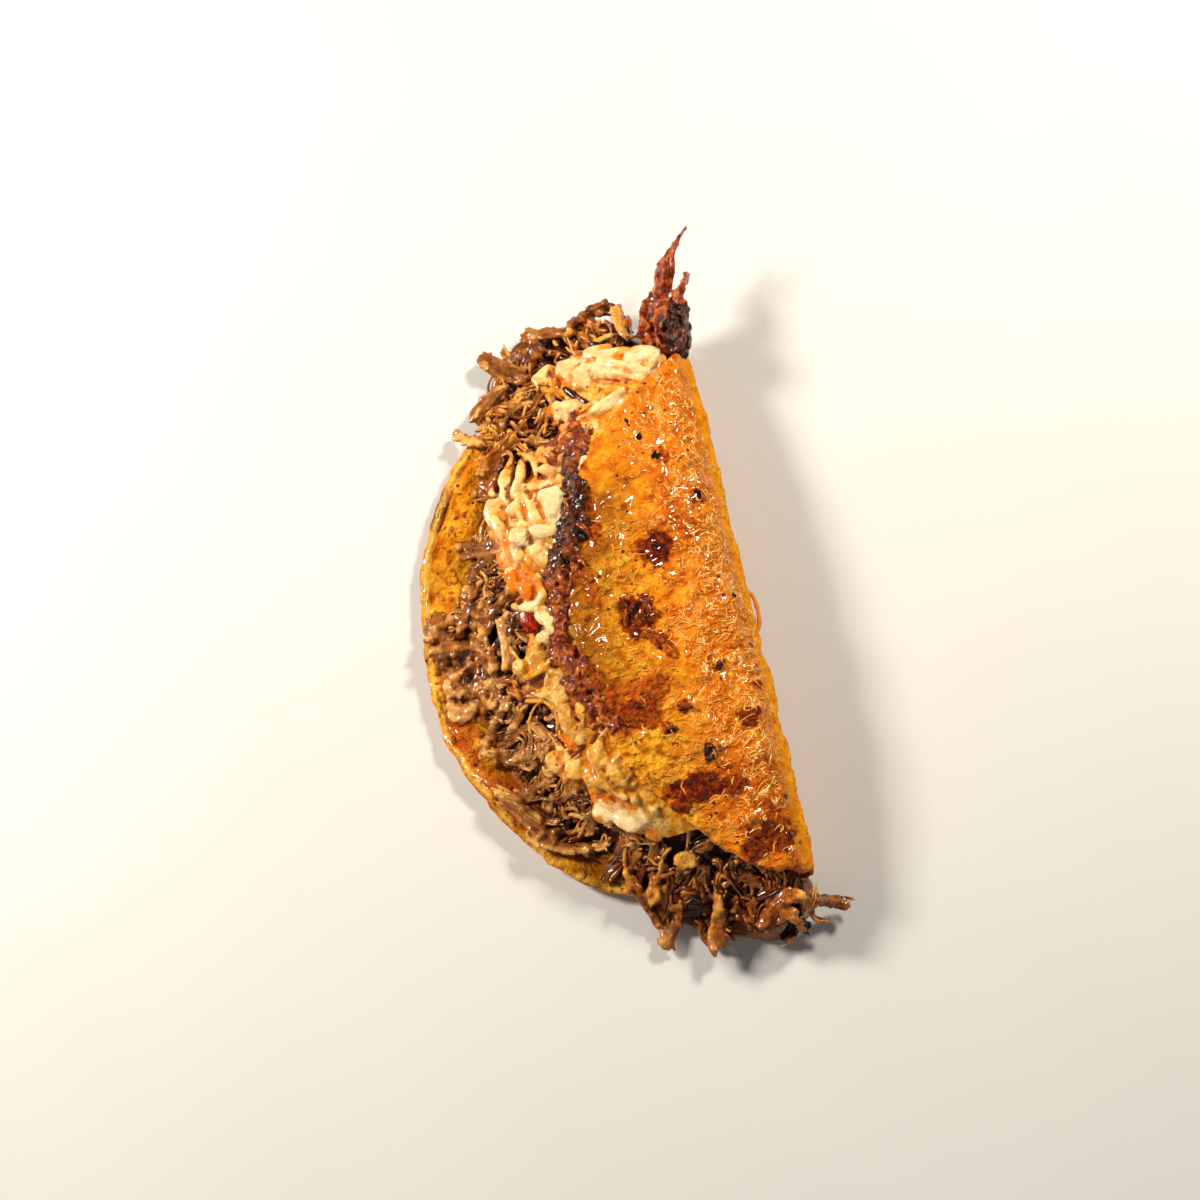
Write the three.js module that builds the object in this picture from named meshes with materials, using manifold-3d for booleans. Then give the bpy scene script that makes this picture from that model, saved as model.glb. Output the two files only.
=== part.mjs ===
// A corn tortilla folded over melted cheese and shredded beef, fried until its edge browned.
// Millimetres, +Z up. The fold runs along +Y, the open mouth faces -X, and the lower flap lies flat.
// The pieces are laid out from the fold's outer tangent at x = 0, then centred on the plate at the end.
import * as THREE from "three";
import { mergeVertices } from "three/addons/utils/BufferGeometryUtils.js";
import Module from "manifold-3d";

const wasm = await Module();
wasm.setup();

// Tortilla disc, before folding
const DISC_R = 72.5;
const DISC_Y = 4.5; // how far the disc's centre sits along the fold
const RIM_LOBES = [-2.2, -0.9, 1.7, -0.8]; // cosine waves that make the hand-pressed rim uneven
const THICKNESS = 2.2;
const RIM_TAPER = 0.35; // share of the thickness lost at the rim
const RIM_TAPER_WIDTH = 7;

// Fold
const FOLD_HEIGHT = 28;
const FOLD_END_DROP = 8; // the fold is lower at its two ends
const FOLD_HALF_LENGTH = 72;
const WRAP_START = -2; // where the wrap begins, measured across the disc from its centre
const WRAP_LENGTH = 38;
const SKEW = 4.5; // the upper flap has slid this far along the fold
const UPPER_RISE = 0.13; // the upper flap climbs from the fold, then droops to its edge (radians)
const UPPER_DROOP = 0.12;
const UPPER_LENGTH = 36;
const RIM_CURL = 2.4; // the lower flap's rim lifts off the plate
const RIM_CURL_WIDTH = 20;

// Relief
const SWELL = { size: 30, height: 0.8 };
const BLISTER = { size: 9, height: 0.55 };
const PIMPLE = { size: 4.5, height: 0.3 };

// Filling
const GAP = 0.35; // air left between neighbouring pieces
const CHEESE_DEPTH = 3.4;
const HEAP_RIM = 4.5; // height of the beef where it thins out on the lower flap
const HEAP_SPREAD = 13;
const CUT_CLEARANCE = 0.5; // keeps nearly parallel faces apart, so that cuts leave no slivers

// Lobed outlines of the filling as [along the fold, across it]: few points, joined by a smooth curve
const BEEF_MOUTH = [
  [-80, -16], [-74, -33], [-66, -42], [-55, -51], [-45, -61], [-34, -67], [-21, -70], [-8, -75],
  [2, -79], [12, -77], [22, -70], [34, -64], [46, -59], [64, -57], [72, -53], [80, -49], [86, -41], [89, -27],
];
const BEEF_FOLD = [[-80, -10], [-75, -2], [-69, 0], [-62, -5], [60, -6], [76, -8], [84, -12], [89, -22]];
const CHEESE_MOUTH = [
  [-52, -34], [-48, -43], [-38, -49], [-28, -54], [-18, -56], [-8, -58], [-3, -59], [4, -56], [13, -57],
  [24, -58], [31, -61], [40, -58], [50, -50], [60, -39], [67, -31], [71, -22],
];

function lerp(a, b, t) {
  return a + (b - a) * t;
}

function clamp01(t) {
  return Math.min(1, Math.max(0, t));
}

function smooth(t) {
  const s = clamp01(t);
  return s * s * (3 - 2 * s);
}

// Smoothly joined values of a few [place, value] pairs
function along(pairs, place) {
  if (place <= pairs[0][0]) return pairs[0][1];
  for (let i = 1; i < pairs.length; i++) {
    const [x0, v0] = pairs[i - 1];
    const [x1, v1] = pairs[i];
    if (place <= x1) return lerp(v0, v1, smooth((place - x0) / (x1 - x0)));
  }
  return pairs[pairs.length - 1][1];
}

function lattice(ix, iy, seed) {
  const s = Math.sin(ix * 127.1 + iy * 311.7 + seed * 74.7) * 43758.5453;
  return 2 * (s - Math.floor(s)) - 1;
}

// Value noise from -1 to 1 with bumps of the given size
function noise(x, y, size, seed) {
  const ix = Math.floor(x / size);
  const iy = Math.floor(y / size);
  const fx = smooth(x / size - ix);
  const fy = smooth(y / size - iy);
  const low = lerp(lattice(ix, iy, seed), lattice(ix + 1, iy, seed), fx);
  const high = lerp(lattice(ix, iy + 1, seed), lattice(ix + 1, iy + 1, seed), fx);
  return lerp(low, high, fy);
}

function random(seed) {
  let count = 0;
  return () => {
    count += 1;
    return (lattice(count, seed, 5) + 1) / 2;
  };
}

// ---------------------------------------------------------------- fold

function discRadius(angle) {
  const lobes = RIM_LOBES.reduce((sum, size, i) => sum + size * Math.cos((i + 1) * angle), 0);
  return DISC_R + lobes + 0.35 * Math.cos(7 * angle + 2) + 0.3 * Math.cos(11 * angle);
}

function foldHeight(y) {
  return FOLD_HEIGHT - FOLD_END_DROP * ((y - DISC_Y) / FOLD_HALF_LENGTH) ** 2;
}

// The middle surface across the fold: a straight, a tight wrap and a gently arched flap
function foldShape(y) {
  const radius = (foldHeight(y) - THICKNESS) / 2;
  const turn = Math.PI - UPPER_RISE;
  const centreX = -(radius + THICKNESS / 2);
  return {
    radius,
    turn,
    centreX,
    wrapEnd: WRAP_START + radius * turn,
    endX: centreX + radius * Math.sin(turn),
    endZ: THICKNESS / 2 + radius * (1 - Math.cos(turn)),
    bend: (UPPER_RISE + UPPER_DROOP) / UPPER_LENGTH,
  };
}

function swell(q, y) {
  return SWELL.height * noise(q, y, SWELL.size, 3);
}

// Centre point and heading of the folded sheet at q across the disc and y along it
function foldLine(q, y) {
  const fold = foldShape(y);
  if (q <= WRAP_START) {
    const rimward = Math.hypot(q, y - DISC_Y);
    const inward = discRadius(Math.atan2(y - DISC_Y, q)) - rimward;
    const lift = clamp01(1 - inward / RIM_CURL_WIDTH) ** 2 * smooth((WRAP_START - q) / 20);
    return { x: fold.centreX + q - WRAP_START, z: THICKNESS / 2 + RIM_CURL * lift, heading: 0 };
  }
  if (q <= fold.wrapEnd) {
    const heading = (q - WRAP_START) / fold.radius;
    const x = fold.centreX + fold.radius * Math.sin(heading);
    return { x, z: THICKNESS / 2 + fold.radius * (1 - Math.cos(heading)), heading };
  }
  const past = q - fold.wrapEnd;
  const heading = fold.turn + fold.bend * past;
  const x = fold.endX + (Math.sin(heading) - Math.sin(fold.turn)) / fold.bend;
  const z = fold.endZ - (Math.cos(heading) - Math.cos(fold.turn)) / fold.bend;
  return { x, z: z + swell(q, y) * smooth(past / 15), heading };
}

// A point of the folded sheet, offset outwards from its middle surface
function foldPoint(q, beside, offset) {
  const y = beside - SKEW * smooth((q - WRAP_START) / WRAP_LENGTH);
  const line = foldLine(q, y);
  return new THREE.Vector3(line.x + offset * Math.sin(line.heading), y, line.z - offset * Math.cos(line.heading));
}

// Height of the upper flap's middle surface over x, carried on past its edge
function roof(x, y) {
  const fold = foldShape(y);
  const sine = Math.min(1, Math.max(-1, Math.sin(fold.turn) + (x - fold.endX) * fold.bend));
  const heading = Math.PI - Math.asin(sine);
  const q = fold.wrapEnd + (heading - fold.turn) / fold.bend;
  const flat = fold.endZ - (Math.cos(heading) - Math.cos(fold.turn)) / fold.bend;
  return flat + swell(q, y) * smooth((q - fold.wrapEnd) / 15);
}

// Where the upper flap ends, across the fold
function upperEdge(y) {
  const beside = y + SKEW - DISC_Y;
  let q = DISC_R;
  for (let i = 0; i < 4; i++) {
    const radius = discRadius(Math.atan2(beside, q));
    q = Math.sqrt(Math.max(1, radius * radius - beside * beside));
  }
  return foldLine(Math.max(q, foldShape(y).wrapEnd), y).x;
}

// ---------------------------------------------------------------- solids

// A closed solid between two grids of points, joined round their border
function closedSheet(rows, columns, top, bottom) {
  const positions = [];
  for (const side of [top, bottom]) {
    for (let i = 0; i <= rows; i++) {
      for (let j = 0; j <= columns; j++) positions.push(...side(i / rows, j / columns, i, j).toArray());
    }
  }
  const layer = (rows + 1) * (columns + 1);
  const at = (i, j) => i * (columns + 1) + j;
  const faces = [];
  for (let i = 0; i < rows; i++) {
    for (let j = 0; j < columns; j++) {
      const [a, b, c, d] = [at(i, j), at(i + 1, j), at(i + 1, j + 1), at(i, j + 1)];
      faces.push(a, b, c, a, c, d);
      faces.push(layer + a, layer + c, layer + b, layer + a, layer + d, layer + c);
    }
  }
  const border = [];
  for (let i = 0; i < rows; i++) border.push(at(i, 0));
  for (let j = 0; j < columns; j++) border.push(at(rows, j));
  for (let i = rows; i > 0; i--) border.push(at(i, columns));
  for (let j = columns; j > 0; j--) border.push(at(0, j));
  border.forEach((a, k) => {
    const b = border[(k + 1) % border.length];
    faces.push(b, a, layer + a, b, layer + a, layer + b);
  });
  const geometry = new THREE.BufferGeometry();
  geometry.setAttribute("position", new THREE.Float32BufferAttribute(positions, 3));
  geometry.setIndex(faces);
  return geometry;
}

function signedVolume(geometry) {
  const place = geometry.attributes.position;
  const [a, b, c] = [new THREE.Vector3(), new THREE.Vector3(), new THREE.Vector3()];
  let sum = 0;
  for (let i = 0; i < geometry.index.count; i += 3) {
    a.fromBufferAttribute(place, geometry.index.getX(i));
    b.fromBufferAttribute(place, geometry.index.getX(i + 1));
    c.fromBufferAttribute(place, geometry.index.getX(i + 2));
    sum += a.dot(b.cross(c)) / 6;
  }
  return sum;
}

function toSolid(source) {
  const bare = source.clone();
  bare.deleteAttribute("normal");
  bare.deleteAttribute("uv");
  const geometry = mergeVertices(bare, 1e-4);
  const faces = Array.from(geometry.index.array);
  if (signedVolume(geometry) < 0) faces.reverse();
  const vertProperties = new Float32Array(geometry.attributes.position.array);
  return new wasm.Manifold(new wasm.Mesh({ numProp: 3, vertProperties, triVerts: new Uint32Array(faces) }));
}

function joined(solids) {
  return solids.reduce((whole, next) => whole.add(next));
}

function largestBody(solid) {
  return solid.decompose().reduce((best, next) => (next.volume() > best.volume() ? next : best));
}

function toGeometry(solid) {
  const mesh = solid.getMesh();
  const geometry = new THREE.BufferGeometry();
  geometry.setAttribute("position", new THREE.Float32BufferAttribute(mesh.vertProperties, 3));
  geometry.setIndex(Array.from(mesh.triVerts));
  return geometry;
}

// A rough lump: a sphere of named half-sizes, dented by noise and turned about Z
function lump({ x, y, z, a, b, c, turn = 0, rough = 0.12, detail = 1, seed = 1 }, extra) {
  const geometry = new THREE.IcosahedronGeometry(1, detail);
  const place = geometry.attributes.position;
  const point = new THREE.Vector3();
  for (let i = 0; i < place.count; i++) {
    point.fromBufferAttribute(place, i);
    const dent = 1 + rough * noise(point.x * 3 + point.z * 2, point.y * 3 - point.z, 1, seed);
    point.multiplyScalar(dent).multiply(new THREE.Vector3(a + extra, b + extra, c + extra));
    place.setXYZ(i, point.x, point.y, point.z);
  }
  geometry.rotateZ(turn);
  geometry.translate(x, y, z);
  return toSolid(geometry);
}

// A tapered strand along a curve: a flattened section that thins to blunt ends
function strand(points, { width, height, sides = 5, rings = 4, tip = 0.45, seed = 1 }, extra = 0) {
  const curve = new THREE.CatmullRomCurve3(points);
  const positions = [];
  const up = new THREE.Vector3(0, 0, 1);
  for (let i = 0; i <= rings; i++) {
    const t = i / rings;
    const centre = curve.getPoint(t);
    const tangent = curve.getTangent(t);
    const across = new THREE.Vector3().crossVectors(tangent, up).normalize();
    const over = new THREE.Vector3().crossVectors(across, tangent).normalize();
    const swelling = lerp(tip, 1, Math.sin(Math.PI * lerp(0.06, 0.94, t)) ** 0.6) * (1 + 0.16 * noise(i, seed, 1, 9));
    for (let k = 0; k < sides; k++) {
      const angle = (2 * Math.PI * k) / sides + 0.3 * t;
      const point = centre.clone();
      point.addScaledVector(across, Math.cos(angle) * ((width / 2) * swelling + extra));
      point.addScaledVector(over, Math.sin(angle) * ((height / 2) * swelling + extra));
      positions.push(...point.toArray());
    }
  }
  const faces = [];
  for (let i = 0; i < rings; i++) {
    for (let k = 0; k < sides; k++) {
      const [a, b] = [i * sides + k, i * sides + ((k + 1) % sides)];
      faces.push(a, b, b + sides, a, b + sides, a + sides);
    }
  }
  for (let k = 1; k < sides - 1; k++) {
    faces.push(0, k + 1, k, rings * sides, rings * sides + k, rings * sides + k + 1);
  }
  const geometry = new THREE.BufferGeometry();
  geometry.setAttribute("position", new THREE.Float32BufferAttribute(positions, 3));
  geometry.setIndex(faces);
  return toSolid(geometry);
}

// ---------------------------------------------------------------- tortilla

// Stations across the disc: close together at the rims and round the wrap
function discStations() {
  const [rimSteps, wrapSteps, upperSteps] = [8, 11, 10];
  const ratio = (q) => q / DISC_R;
  const wrapEnd = foldShape(DISC_Y).wrapEnd;
  const lowerAngle = Math.acos(-ratio(WRAP_START));
  const upperAngle = Math.acos(ratio(wrapEnd));
  const stations = [];
  for (let i = 0; i < rimSteps; i++) stations.push(-Math.cos(lerp(0.1, lowerAngle, i / rimSteps)));
  for (let i = 0; i < wrapSteps; i++) stations.push(ratio(lerp(WRAP_START, wrapEnd, i / wrapSteps)));
  for (let i = 0; i <= upperSteps; i++) stations.push(Math.cos(lerp(upperAngle, 0.1, i / upperSteps)));
  return stations;
}

function tortillaSheet(extra) {
  const stations = discStations();
  const alongSteps = 24;
  const face = (side) => (u, v, i) => {
    const across = stations[i];
    const beside = lerp(-1, 1, v) * Math.sqrt(1 - across * across);
    const angle = Math.atan2(beside, across);
    const share = Math.hypot(across, beside);
    const radius = discRadius(angle) + extra;
    const q = radius * share * Math.cos(angle);
    const y = DISC_Y + radius * share * Math.sin(angle);
    const taper = 1 - RIM_TAPER * smooth(1 - (radius * (1 - share)) / RIM_TAPER_WIDTH);
    const bumps = BLISTER.height * noise(q, y, BLISTER.size, 1) + PIMPLE.height * noise(q, y, PIMPLE.size, 2);
    const relief = side > 0 ? bumps * smooth((q - 8) / 14) : 0;
    return foldPoint(q, y, side * ((THICKNESS / 2) * taper + extra) + relief);
  };
  return closedSheet(stations.length - 1, alongSteps, face(1), face(-1));
}

// ---------------------------------------------------------------- cheese

const CHEESE_ENDS = [-52, 71];
const CHEESE_START = -13; // the layer begins here, inside the fold

function cheeseTop(x, y) {
  const edge = upperEdge(y);
  const inside = roof(x, y) - THICKNESS / 2 - GAP - CUT_CLEARANCE;
  const spill = Math.max(0, edge - x);
  return inside - 0.32 * spill - 0.007 * spill * spill;
}

// The browned rim: a craggy ridge of fried cheese along the upper flap's edge
const CRUST = { from: -30, to: 56, fade: 12, width: 5.5, height: 4.2, clear: 1.1 };

function crustRidge(x, y) {
  const ends = smooth((y - CRUST.from) / CRUST.fade) * smooth((CRUST.to - y) / CRUST.fade);
  const away = (upperEdge(y) - x - CRUST.clear) / CRUST.width;
  const crest = away < 0 ? 0 : Math.cos((Math.PI / 2) * clamp01(away)) ** 0.7;
  return ends * crest * CRUST.height * (1 + 0.35 * noise(x, y, 3.5, 11));
}

// The melted layer, from inside the fold out past the upper flap's edge
function cheeseLayer(extra) {
  const [alongSteps, insideSteps, spillSteps] = [27, 2, 6];
  const acrossSteps = insideSteps + spillSteps;
  const face = (side) => (u, v, i, j) => {
    const y = lerp(CHEESE_ENDS[0] - extra, CHEESE_ENDS[1] + extra, u);
    const mouth = along(CHEESE_MOUTH, y) - extra + 1.4 * noise(y, 0, 5, 6);
    const edge = Math.max(upperEdge(y), mouth + 3);
    const inner = lerp(Math.max(CHEESE_START, edge + 3), edge + 0.6, j / insideSteps);
    const spilled = lerp(edge - CRUST.clear - 0.05, mouth, (j - insideSteps - 1) / (spillSteps - 1));
    const x = j > insideSteps ? spilled : inner;
    const thin = Math.min(smooth(1.15 * (1 - v) / 0.3), smooth(u / 0.06 + 0.1), smooth((1 - u) / 0.06 + 0.1));
    const depth = CHEESE_DEPTH * lerp(0.3, 1, thin);
    const wavy = j > insideSteps ? 0.9 * noise(x, y, 5, 7) + crustRidge(x, y) : 0;
    const level = cheeseTop(x, y) - 0.2 * CHEESE_DEPTH * (1 - thin);
    return new THREE.Vector3(x, y, side > 0 ? level + wavy + extra : cheeseTop(x, y) - depth - extra);
  };
  return toSolid(closedSheet(alongSteps, acrossSteps, face(1), face(-1)));
}

// Soft lobes that ran out of the mouth, from the top end of the fold down to the bottom end
const CHEESE_LOBES = [
  { y: 69, x: -18, a: 9, b: 4.4, turn: -0.3 },
  { y: 61, x: -33, a: 5.5, b: 4 },
  { y: 37, x: -49, a: 5, b: 8 },
  { y: 29, x: -57, a: 5, b: 6.5 },
  { y: 14, x: -55, a: 5.5, b: 5.5 },
  { y: -4, x: -57, a: 4.5, b: 6.5 },
  { y: -26, x: -53, a: 5, b: 6 },
  { y: -44, x: -44, a: 8, b: 3.8, turn: -0.5 },
];
const LOBE_HEIGHT = 2.6;

function cheeseLobes(extra) {
  return CHEESE_LOBES.map((lobe, i) => {
    const z = cheeseTop(lobe.x, lobe.y) - 0.6;
    return lump({ ...lobe, z, c: LOBE_HEIGHT, rough: 0.1, seed: i }, extra);
  });
}

function cheeseBody(extra) {
  return joined([cheeseLayer(extra), ...cheeseLobes(extra)]);
}

// ---------------------------------------------------------------- crisped end

// A charred clump at the top end of the fold, with one fried strand that curls out of it
const CLUMP = { x: -6, y: 78, z: 15 };

function crispedEnd(extra) {
  const { x, y, z } = CLUMP;
  const at = (dx, dy, dz) => new THREE.Vector3(x + dx, y + dy, z + dz);
  const strandSize = { width: 4, height: 3.4, sides: 6, rings: 9, tip: 0.3, seed: 4 };
  const sideSize = { width: 3, height: 1.6, sides: 5, rings: 5, tip: 0.4, seed: 6 };
  return joined([
    lump({ x, y: y - 1, z, a: 6.4, b: 7.2, c: 6.5, rough: 0.28, detail: 2, seed: 21 }, extra),
    lump({ x: x + 3.4, y: y - 4, z: z + 2, a: 4, b: 5.4, c: 5, rough: 0.3, seed: 22 }, extra),
    strand([at(2, 3, 1), at(3.4, 11, 2), at(5, 17, 4), at(9, 22, 5), at(13.5, 24.5, 5)], strandSize, extra),
    strand([at(3, 6, 2), at(6.5, 11, 3), at(10, 12, 1), at(10.5, 8, -2)], sideSize, extra),
  ]);
}

// ---------------------------------------------------------------- beef

function heapTop(x, y) {
  const mouth = along(BEEF_MOUTH, y) - 4;
  const foldSide = along(BEEF_FOLD, y) + 2;
  const endward = Math.min(y - BEEF_MOUTH[0][0], BEEF_MOUTH[BEEF_MOUTH.length - 1][0] - y) + 3;
  const rise = (distance, spread) => 1 - Math.exp(-Math.max(0, distance) / spread);
  const swellUp = rise(x - mouth, HEAP_SPREAD) * rise(endward, 9) * rise(foldSide - x, 5);
  const open = HEAP_RIM + 25 * swellUp;
  const under = cheeseTop(x, y) - CHEESE_DEPTH - GAP - CUT_CLEARANCE;
  return Math.min(open, under);
}

// Where the lower flap carries the beef, it starts above the flap; past the flap's edge, above the plate
function heapFloor(x, y) {
  const fold = foldShape(y);
  const q = x - fold.centreX + WRAP_START;
  const share = Math.hypot(q, y - DISC_Y) / discRadius(Math.atan2(y - DISC_Y, q));
  const flapTop = foldLine(Math.min(q, WRAP_START), y).z + THICKNESS / 2 + GAP + CUT_CLEARANCE;
  return lerp(flapTop, 0.5, smooth((share - 1.02) / 0.05));
}

function beefCore() {
  const [alongSteps, acrossSteps] = [19, 6];
  const ends = [BEEF_MOUTH[0][0], BEEF_MOUTH[BEEF_MOUTH.length - 1][0]];
  const face = (side) => (u, v) => {
    const y = lerp(ends[0], ends[1], u);
    const x = lerp(along(BEEF_FOLD, y), along(BEEF_MOUTH, y), v);
    const low = heapFloor(x, y);
    const top = Math.max(heapTop(x, y) - 1.5 + 1.2 * noise(x, y, 6, 14), low + 1.2);
    return new THREE.Vector3(x, y, side > 0 ? top : low);
  };
  return toSolid(closedSheet(alongSteps, acrossSteps, face(1), face(-1)));
}

// A shred that lies on the heap: its middle, its direction in plan, and how far its ends rise
function shred({ x, y, turn, length, width, height, bow = 0, lift = 0, rings = 4, seed = 1 }) {
  const points = [-0.5, -0.18, 0.18, 0.5].map((s, i) => {
    const side = bow * (0.25 - s * s) * 4;
    const px = x + Math.cos(turn) * s * length - Math.sin(turn) * side;
    const py = y + Math.sin(turn) * s * length + Math.cos(turn) * side;
    const rest = Math.max(heapTop(px, py), height / 2 + 0.6);
    const raised = rest + height * 0.12 + lift * Math.abs(s) * 2 * (i < 2 ? 0.4 : 1);
    return new THREE.Vector3(px, py, raised);
  });
  return strand(points, { width, height, rings, seed });
}

// The shreds that give the heap its outline: each is [x, y, direction, length, width, height, bow]
const KEY_SHREDS = [
  [-62, 6, 1.5, 21, 6, 4.5, 0.6],
  [-74, 0, 0.3, 15, 8, 6, 1.5],
  [-75, 12, 0.25, 16, 5, 4, 1.2],
  [-71, 17, 0.2, 14, 3.6, 3, -1],
  [-64, 32, -0.2, 13, 6, 4, 1.5],
  [-64, 24, 0.6, 12, 5, 4, 2.5],
  [-53, 54, 1.3, 24, 4, 3, 1],
  [-60, 62, 2.8, 10, 3.6, 3, 0],
  [-53, 70, 0.5, 13, 6, 5, 2],
  [-47, 81, 2.5, 14, 6, 5, 2],
  [-34, 86, 2.9, 15, 4.6, 4, -2],
  [-22, 88, 0.1, 15, 4.6, 4, 1.6],
  [-15, 84, 1.9, 11, 4, 3.4, 1],
  [-67, -36, 2.3, 17, 5, 4, 1],
  [-59, -46, 2.6, 15, 4.4, 3.6, 1],
  [-43, -66, 1.9, 19, 5, 4, 1],
  [-37, -72, 1.2, 12, 4, 3, 0],
  [-26, -73, 1.5, 14, 8, 6, 0],
  [-13, -74, 0.4, 10, 7, 5.5, 0.5],
  [-8, -78, -0.9, 11, 4.4, 3.4, 0.6],
  [-4, -75, -0.7, 13, 3.6, 3, 0],
  [0, -73.4, -0.42, 17, 3.8, 3.2, -0.4],
];

function keyShreds() {
  return KEY_SHREDS.map(([x, y, turn, length, width, height, bow], i) =>
    shred({ x, y, turn, length, width, height, bow, lift: 0.5, seed: i }));
}

// The rest are strewn evenly, in rows across the heap, and point outwards more at the two ends
const ROW_STEP = 10.4;
const SHRED_SPACING = 15;

function strewnShreds() {
  const draw = random(17);
  const shreds = [];
  for (let row = BEEF_MOUTH[0][0] + 4; row < BEEF_MOUTH[BEEF_MOUTH.length - 1][0] - 3; row += ROW_STEP) {
    const mouth = along(BEEF_MOUTH, row) - 1;
    const covered = row > CHEESE_ENDS[0] - 2 && row < CHEESE_ENDS[1];
    const inner = covered ? along(CHEESE_MOUTH, row) : along(BEEF_FOLD, row) - 3;
    const count = Math.max(2, Math.round((inner - mouth) / SHRED_SPACING));
    for (let i = 0; i < count; i++) {
      const y = row + lerp(-0.4, 0.4, draw()) * ROW_STEP;
      const x = lerp(mouth, inner, (i + 0.3 + 0.4 * draw()) / count);
      const outward = (Math.PI / 2) * smooth((Math.abs(y - DISC_Y) - 45) / 25);
      const turn = outward + (draw() - 0.5) * 1.9 + (draw() < 0.3 ? 1.2 : 0);
      const length = lerp(10, 16, draw());
      const width = lerp(3.8, 6.4, draw() ** 1.5);
      const bow = lerp(-2.4, 2.4, draw());
      const lift = 1.2 * draw();
      const size = { length, width, height: width * 0.75, bow, lift, rings: 3, seed: 40 + shreds.length };
      shreds.push(shred({ x, y, turn, ...size }));
    }
  }
  return shreds;
}

// ---------------------------------------------------------------- assembly

function piece(name, solid, color, roughness) {
  const material = new THREE.MeshStandardMaterial({ color, roughness, metalness: 0 });
  const mesh = new THREE.Mesh(toGeometry(largestBody(solid)), material);
  mesh.name = name;
  return mesh;
}

const tortillaRoom = toSolid(tortillaSheet(GAP));
const cheeseRoom = cheeseBody(GAP);
const crispedRoom = crispedEnd(GAP);
const beef = joined([beefCore(), ...keyShreds(), ...strewnShreds()]);

const quesadilla = new THREE.Group();
quesadilla.add(
  piece("tortilla", toSolid(tortillaSheet(0)), 0xd98a2b, 0.45),
  piece("cheese", cheeseBody(0).subtract(tortillaRoom).subtract(crispedRoom), 0xecd9a0, 0.35),
  piece("beef", beef.subtract(tortillaRoom).subtract(cheeseRoom).subtract(crispedRoom), 0x8a5a34, 0.5),
  piece("crisped_end", crispedEnd(0).subtract(tortillaRoom), 0x4a1c12, 0.4),
);

const box = new THREE.Box3().setFromObject(quesadilla);
const middle = box.getCenter(new THREE.Vector3());
quesadilla.position.set(-middle.x, -middle.y, -box.min.z);

export default quesadilla;
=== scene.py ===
import math

import bpy
import numpy as np
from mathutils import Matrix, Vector
from mathutils.kdtree import KDTree


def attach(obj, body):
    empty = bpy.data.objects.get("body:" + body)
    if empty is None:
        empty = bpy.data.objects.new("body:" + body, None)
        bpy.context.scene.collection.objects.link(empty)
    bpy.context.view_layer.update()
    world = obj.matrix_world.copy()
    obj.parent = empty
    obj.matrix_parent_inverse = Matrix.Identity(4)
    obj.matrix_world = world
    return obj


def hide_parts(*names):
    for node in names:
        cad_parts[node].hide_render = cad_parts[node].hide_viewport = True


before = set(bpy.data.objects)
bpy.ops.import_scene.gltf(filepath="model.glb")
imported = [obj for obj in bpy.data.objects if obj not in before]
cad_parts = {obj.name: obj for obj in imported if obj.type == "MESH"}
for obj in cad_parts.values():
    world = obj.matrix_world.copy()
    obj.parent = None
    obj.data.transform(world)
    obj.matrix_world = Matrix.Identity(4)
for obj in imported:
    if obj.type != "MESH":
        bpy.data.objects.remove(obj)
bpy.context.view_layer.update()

MM = 0.001
LAYOUT_TO_ROW = np.array([37.536, -10.201, 0.0])

# Tortilla disc, before folding
DISC_R = 72.5
DISC_Y = 4.5  # how far the disc's centre sits along the fold
RIM_LOBES = [-2.2, -0.9, 1.7, -0.8]  # cosine waves that make the hand-pressed rim uneven
RIM_RIPPLES = [(0.35, 7, 2), (0.3, 11, 0)]  # finer waves: size, number round the rim, shift
THICKNESS = 2.2
RIM_TAPER = 0.35  # share of the thickness lost at the rim
RIM_TAPER_WIDTH = 7

# Fold
FOLD_HEIGHT = 28
FOLD_END_DROP = 8  # the fold is lower at its two ends
FOLD_HALF_LENGTH = 72
WRAP_START = -2  # where the wrap begins, measured across the disc from its centre
WRAP_LENGTH = 38
SKEW = 4.5  # the upper flap has slid this far along the fold
UPPER_RISE = 0.13  # the upper flap climbs from the fold, then droops to its edge (radians)
UPPER_DROOP = 0.12
UPPER_LENGTH = 36
TURN = math.pi - UPPER_RISE
BEND = (UPPER_RISE + UPPER_DROOP) / UPPER_LENGTH
RIM_CURL = 2.4  # the lower flap's rim lifts off the plate
RIM_CURL_WIDTH = 20

# Relief of the tortilla: height and size
SWELL_HEIGHT, SWELL_SIZE = 0.8, 30
BLISTER_HEIGHT, BLISTER_SIZE = 0.55, 9
PIMPLE_HEIGHT, PIMPLE_SIZE = 0.3, 4.5

# Filling
GAP = 0.35  # air left between neighbouring pieces
CUT_CLEARANCE = 0.5  # more air, as the solids leave it between nearly parallel faces
CHEESE_DEPTH = 3.4
CHEESE_ENDS = [-52, 71]
CHEESE_START = -13
SPILL_SLOPE, SPILL_DROOP = 0.32, 0.007  # how the cheese falls away outside the upper flap
HEAP_RIM = 4.5  # height of the beef where it thins out on the lower flap
HEAP_HEIGHT = 25
HEAP_SPREAD = 13

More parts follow.
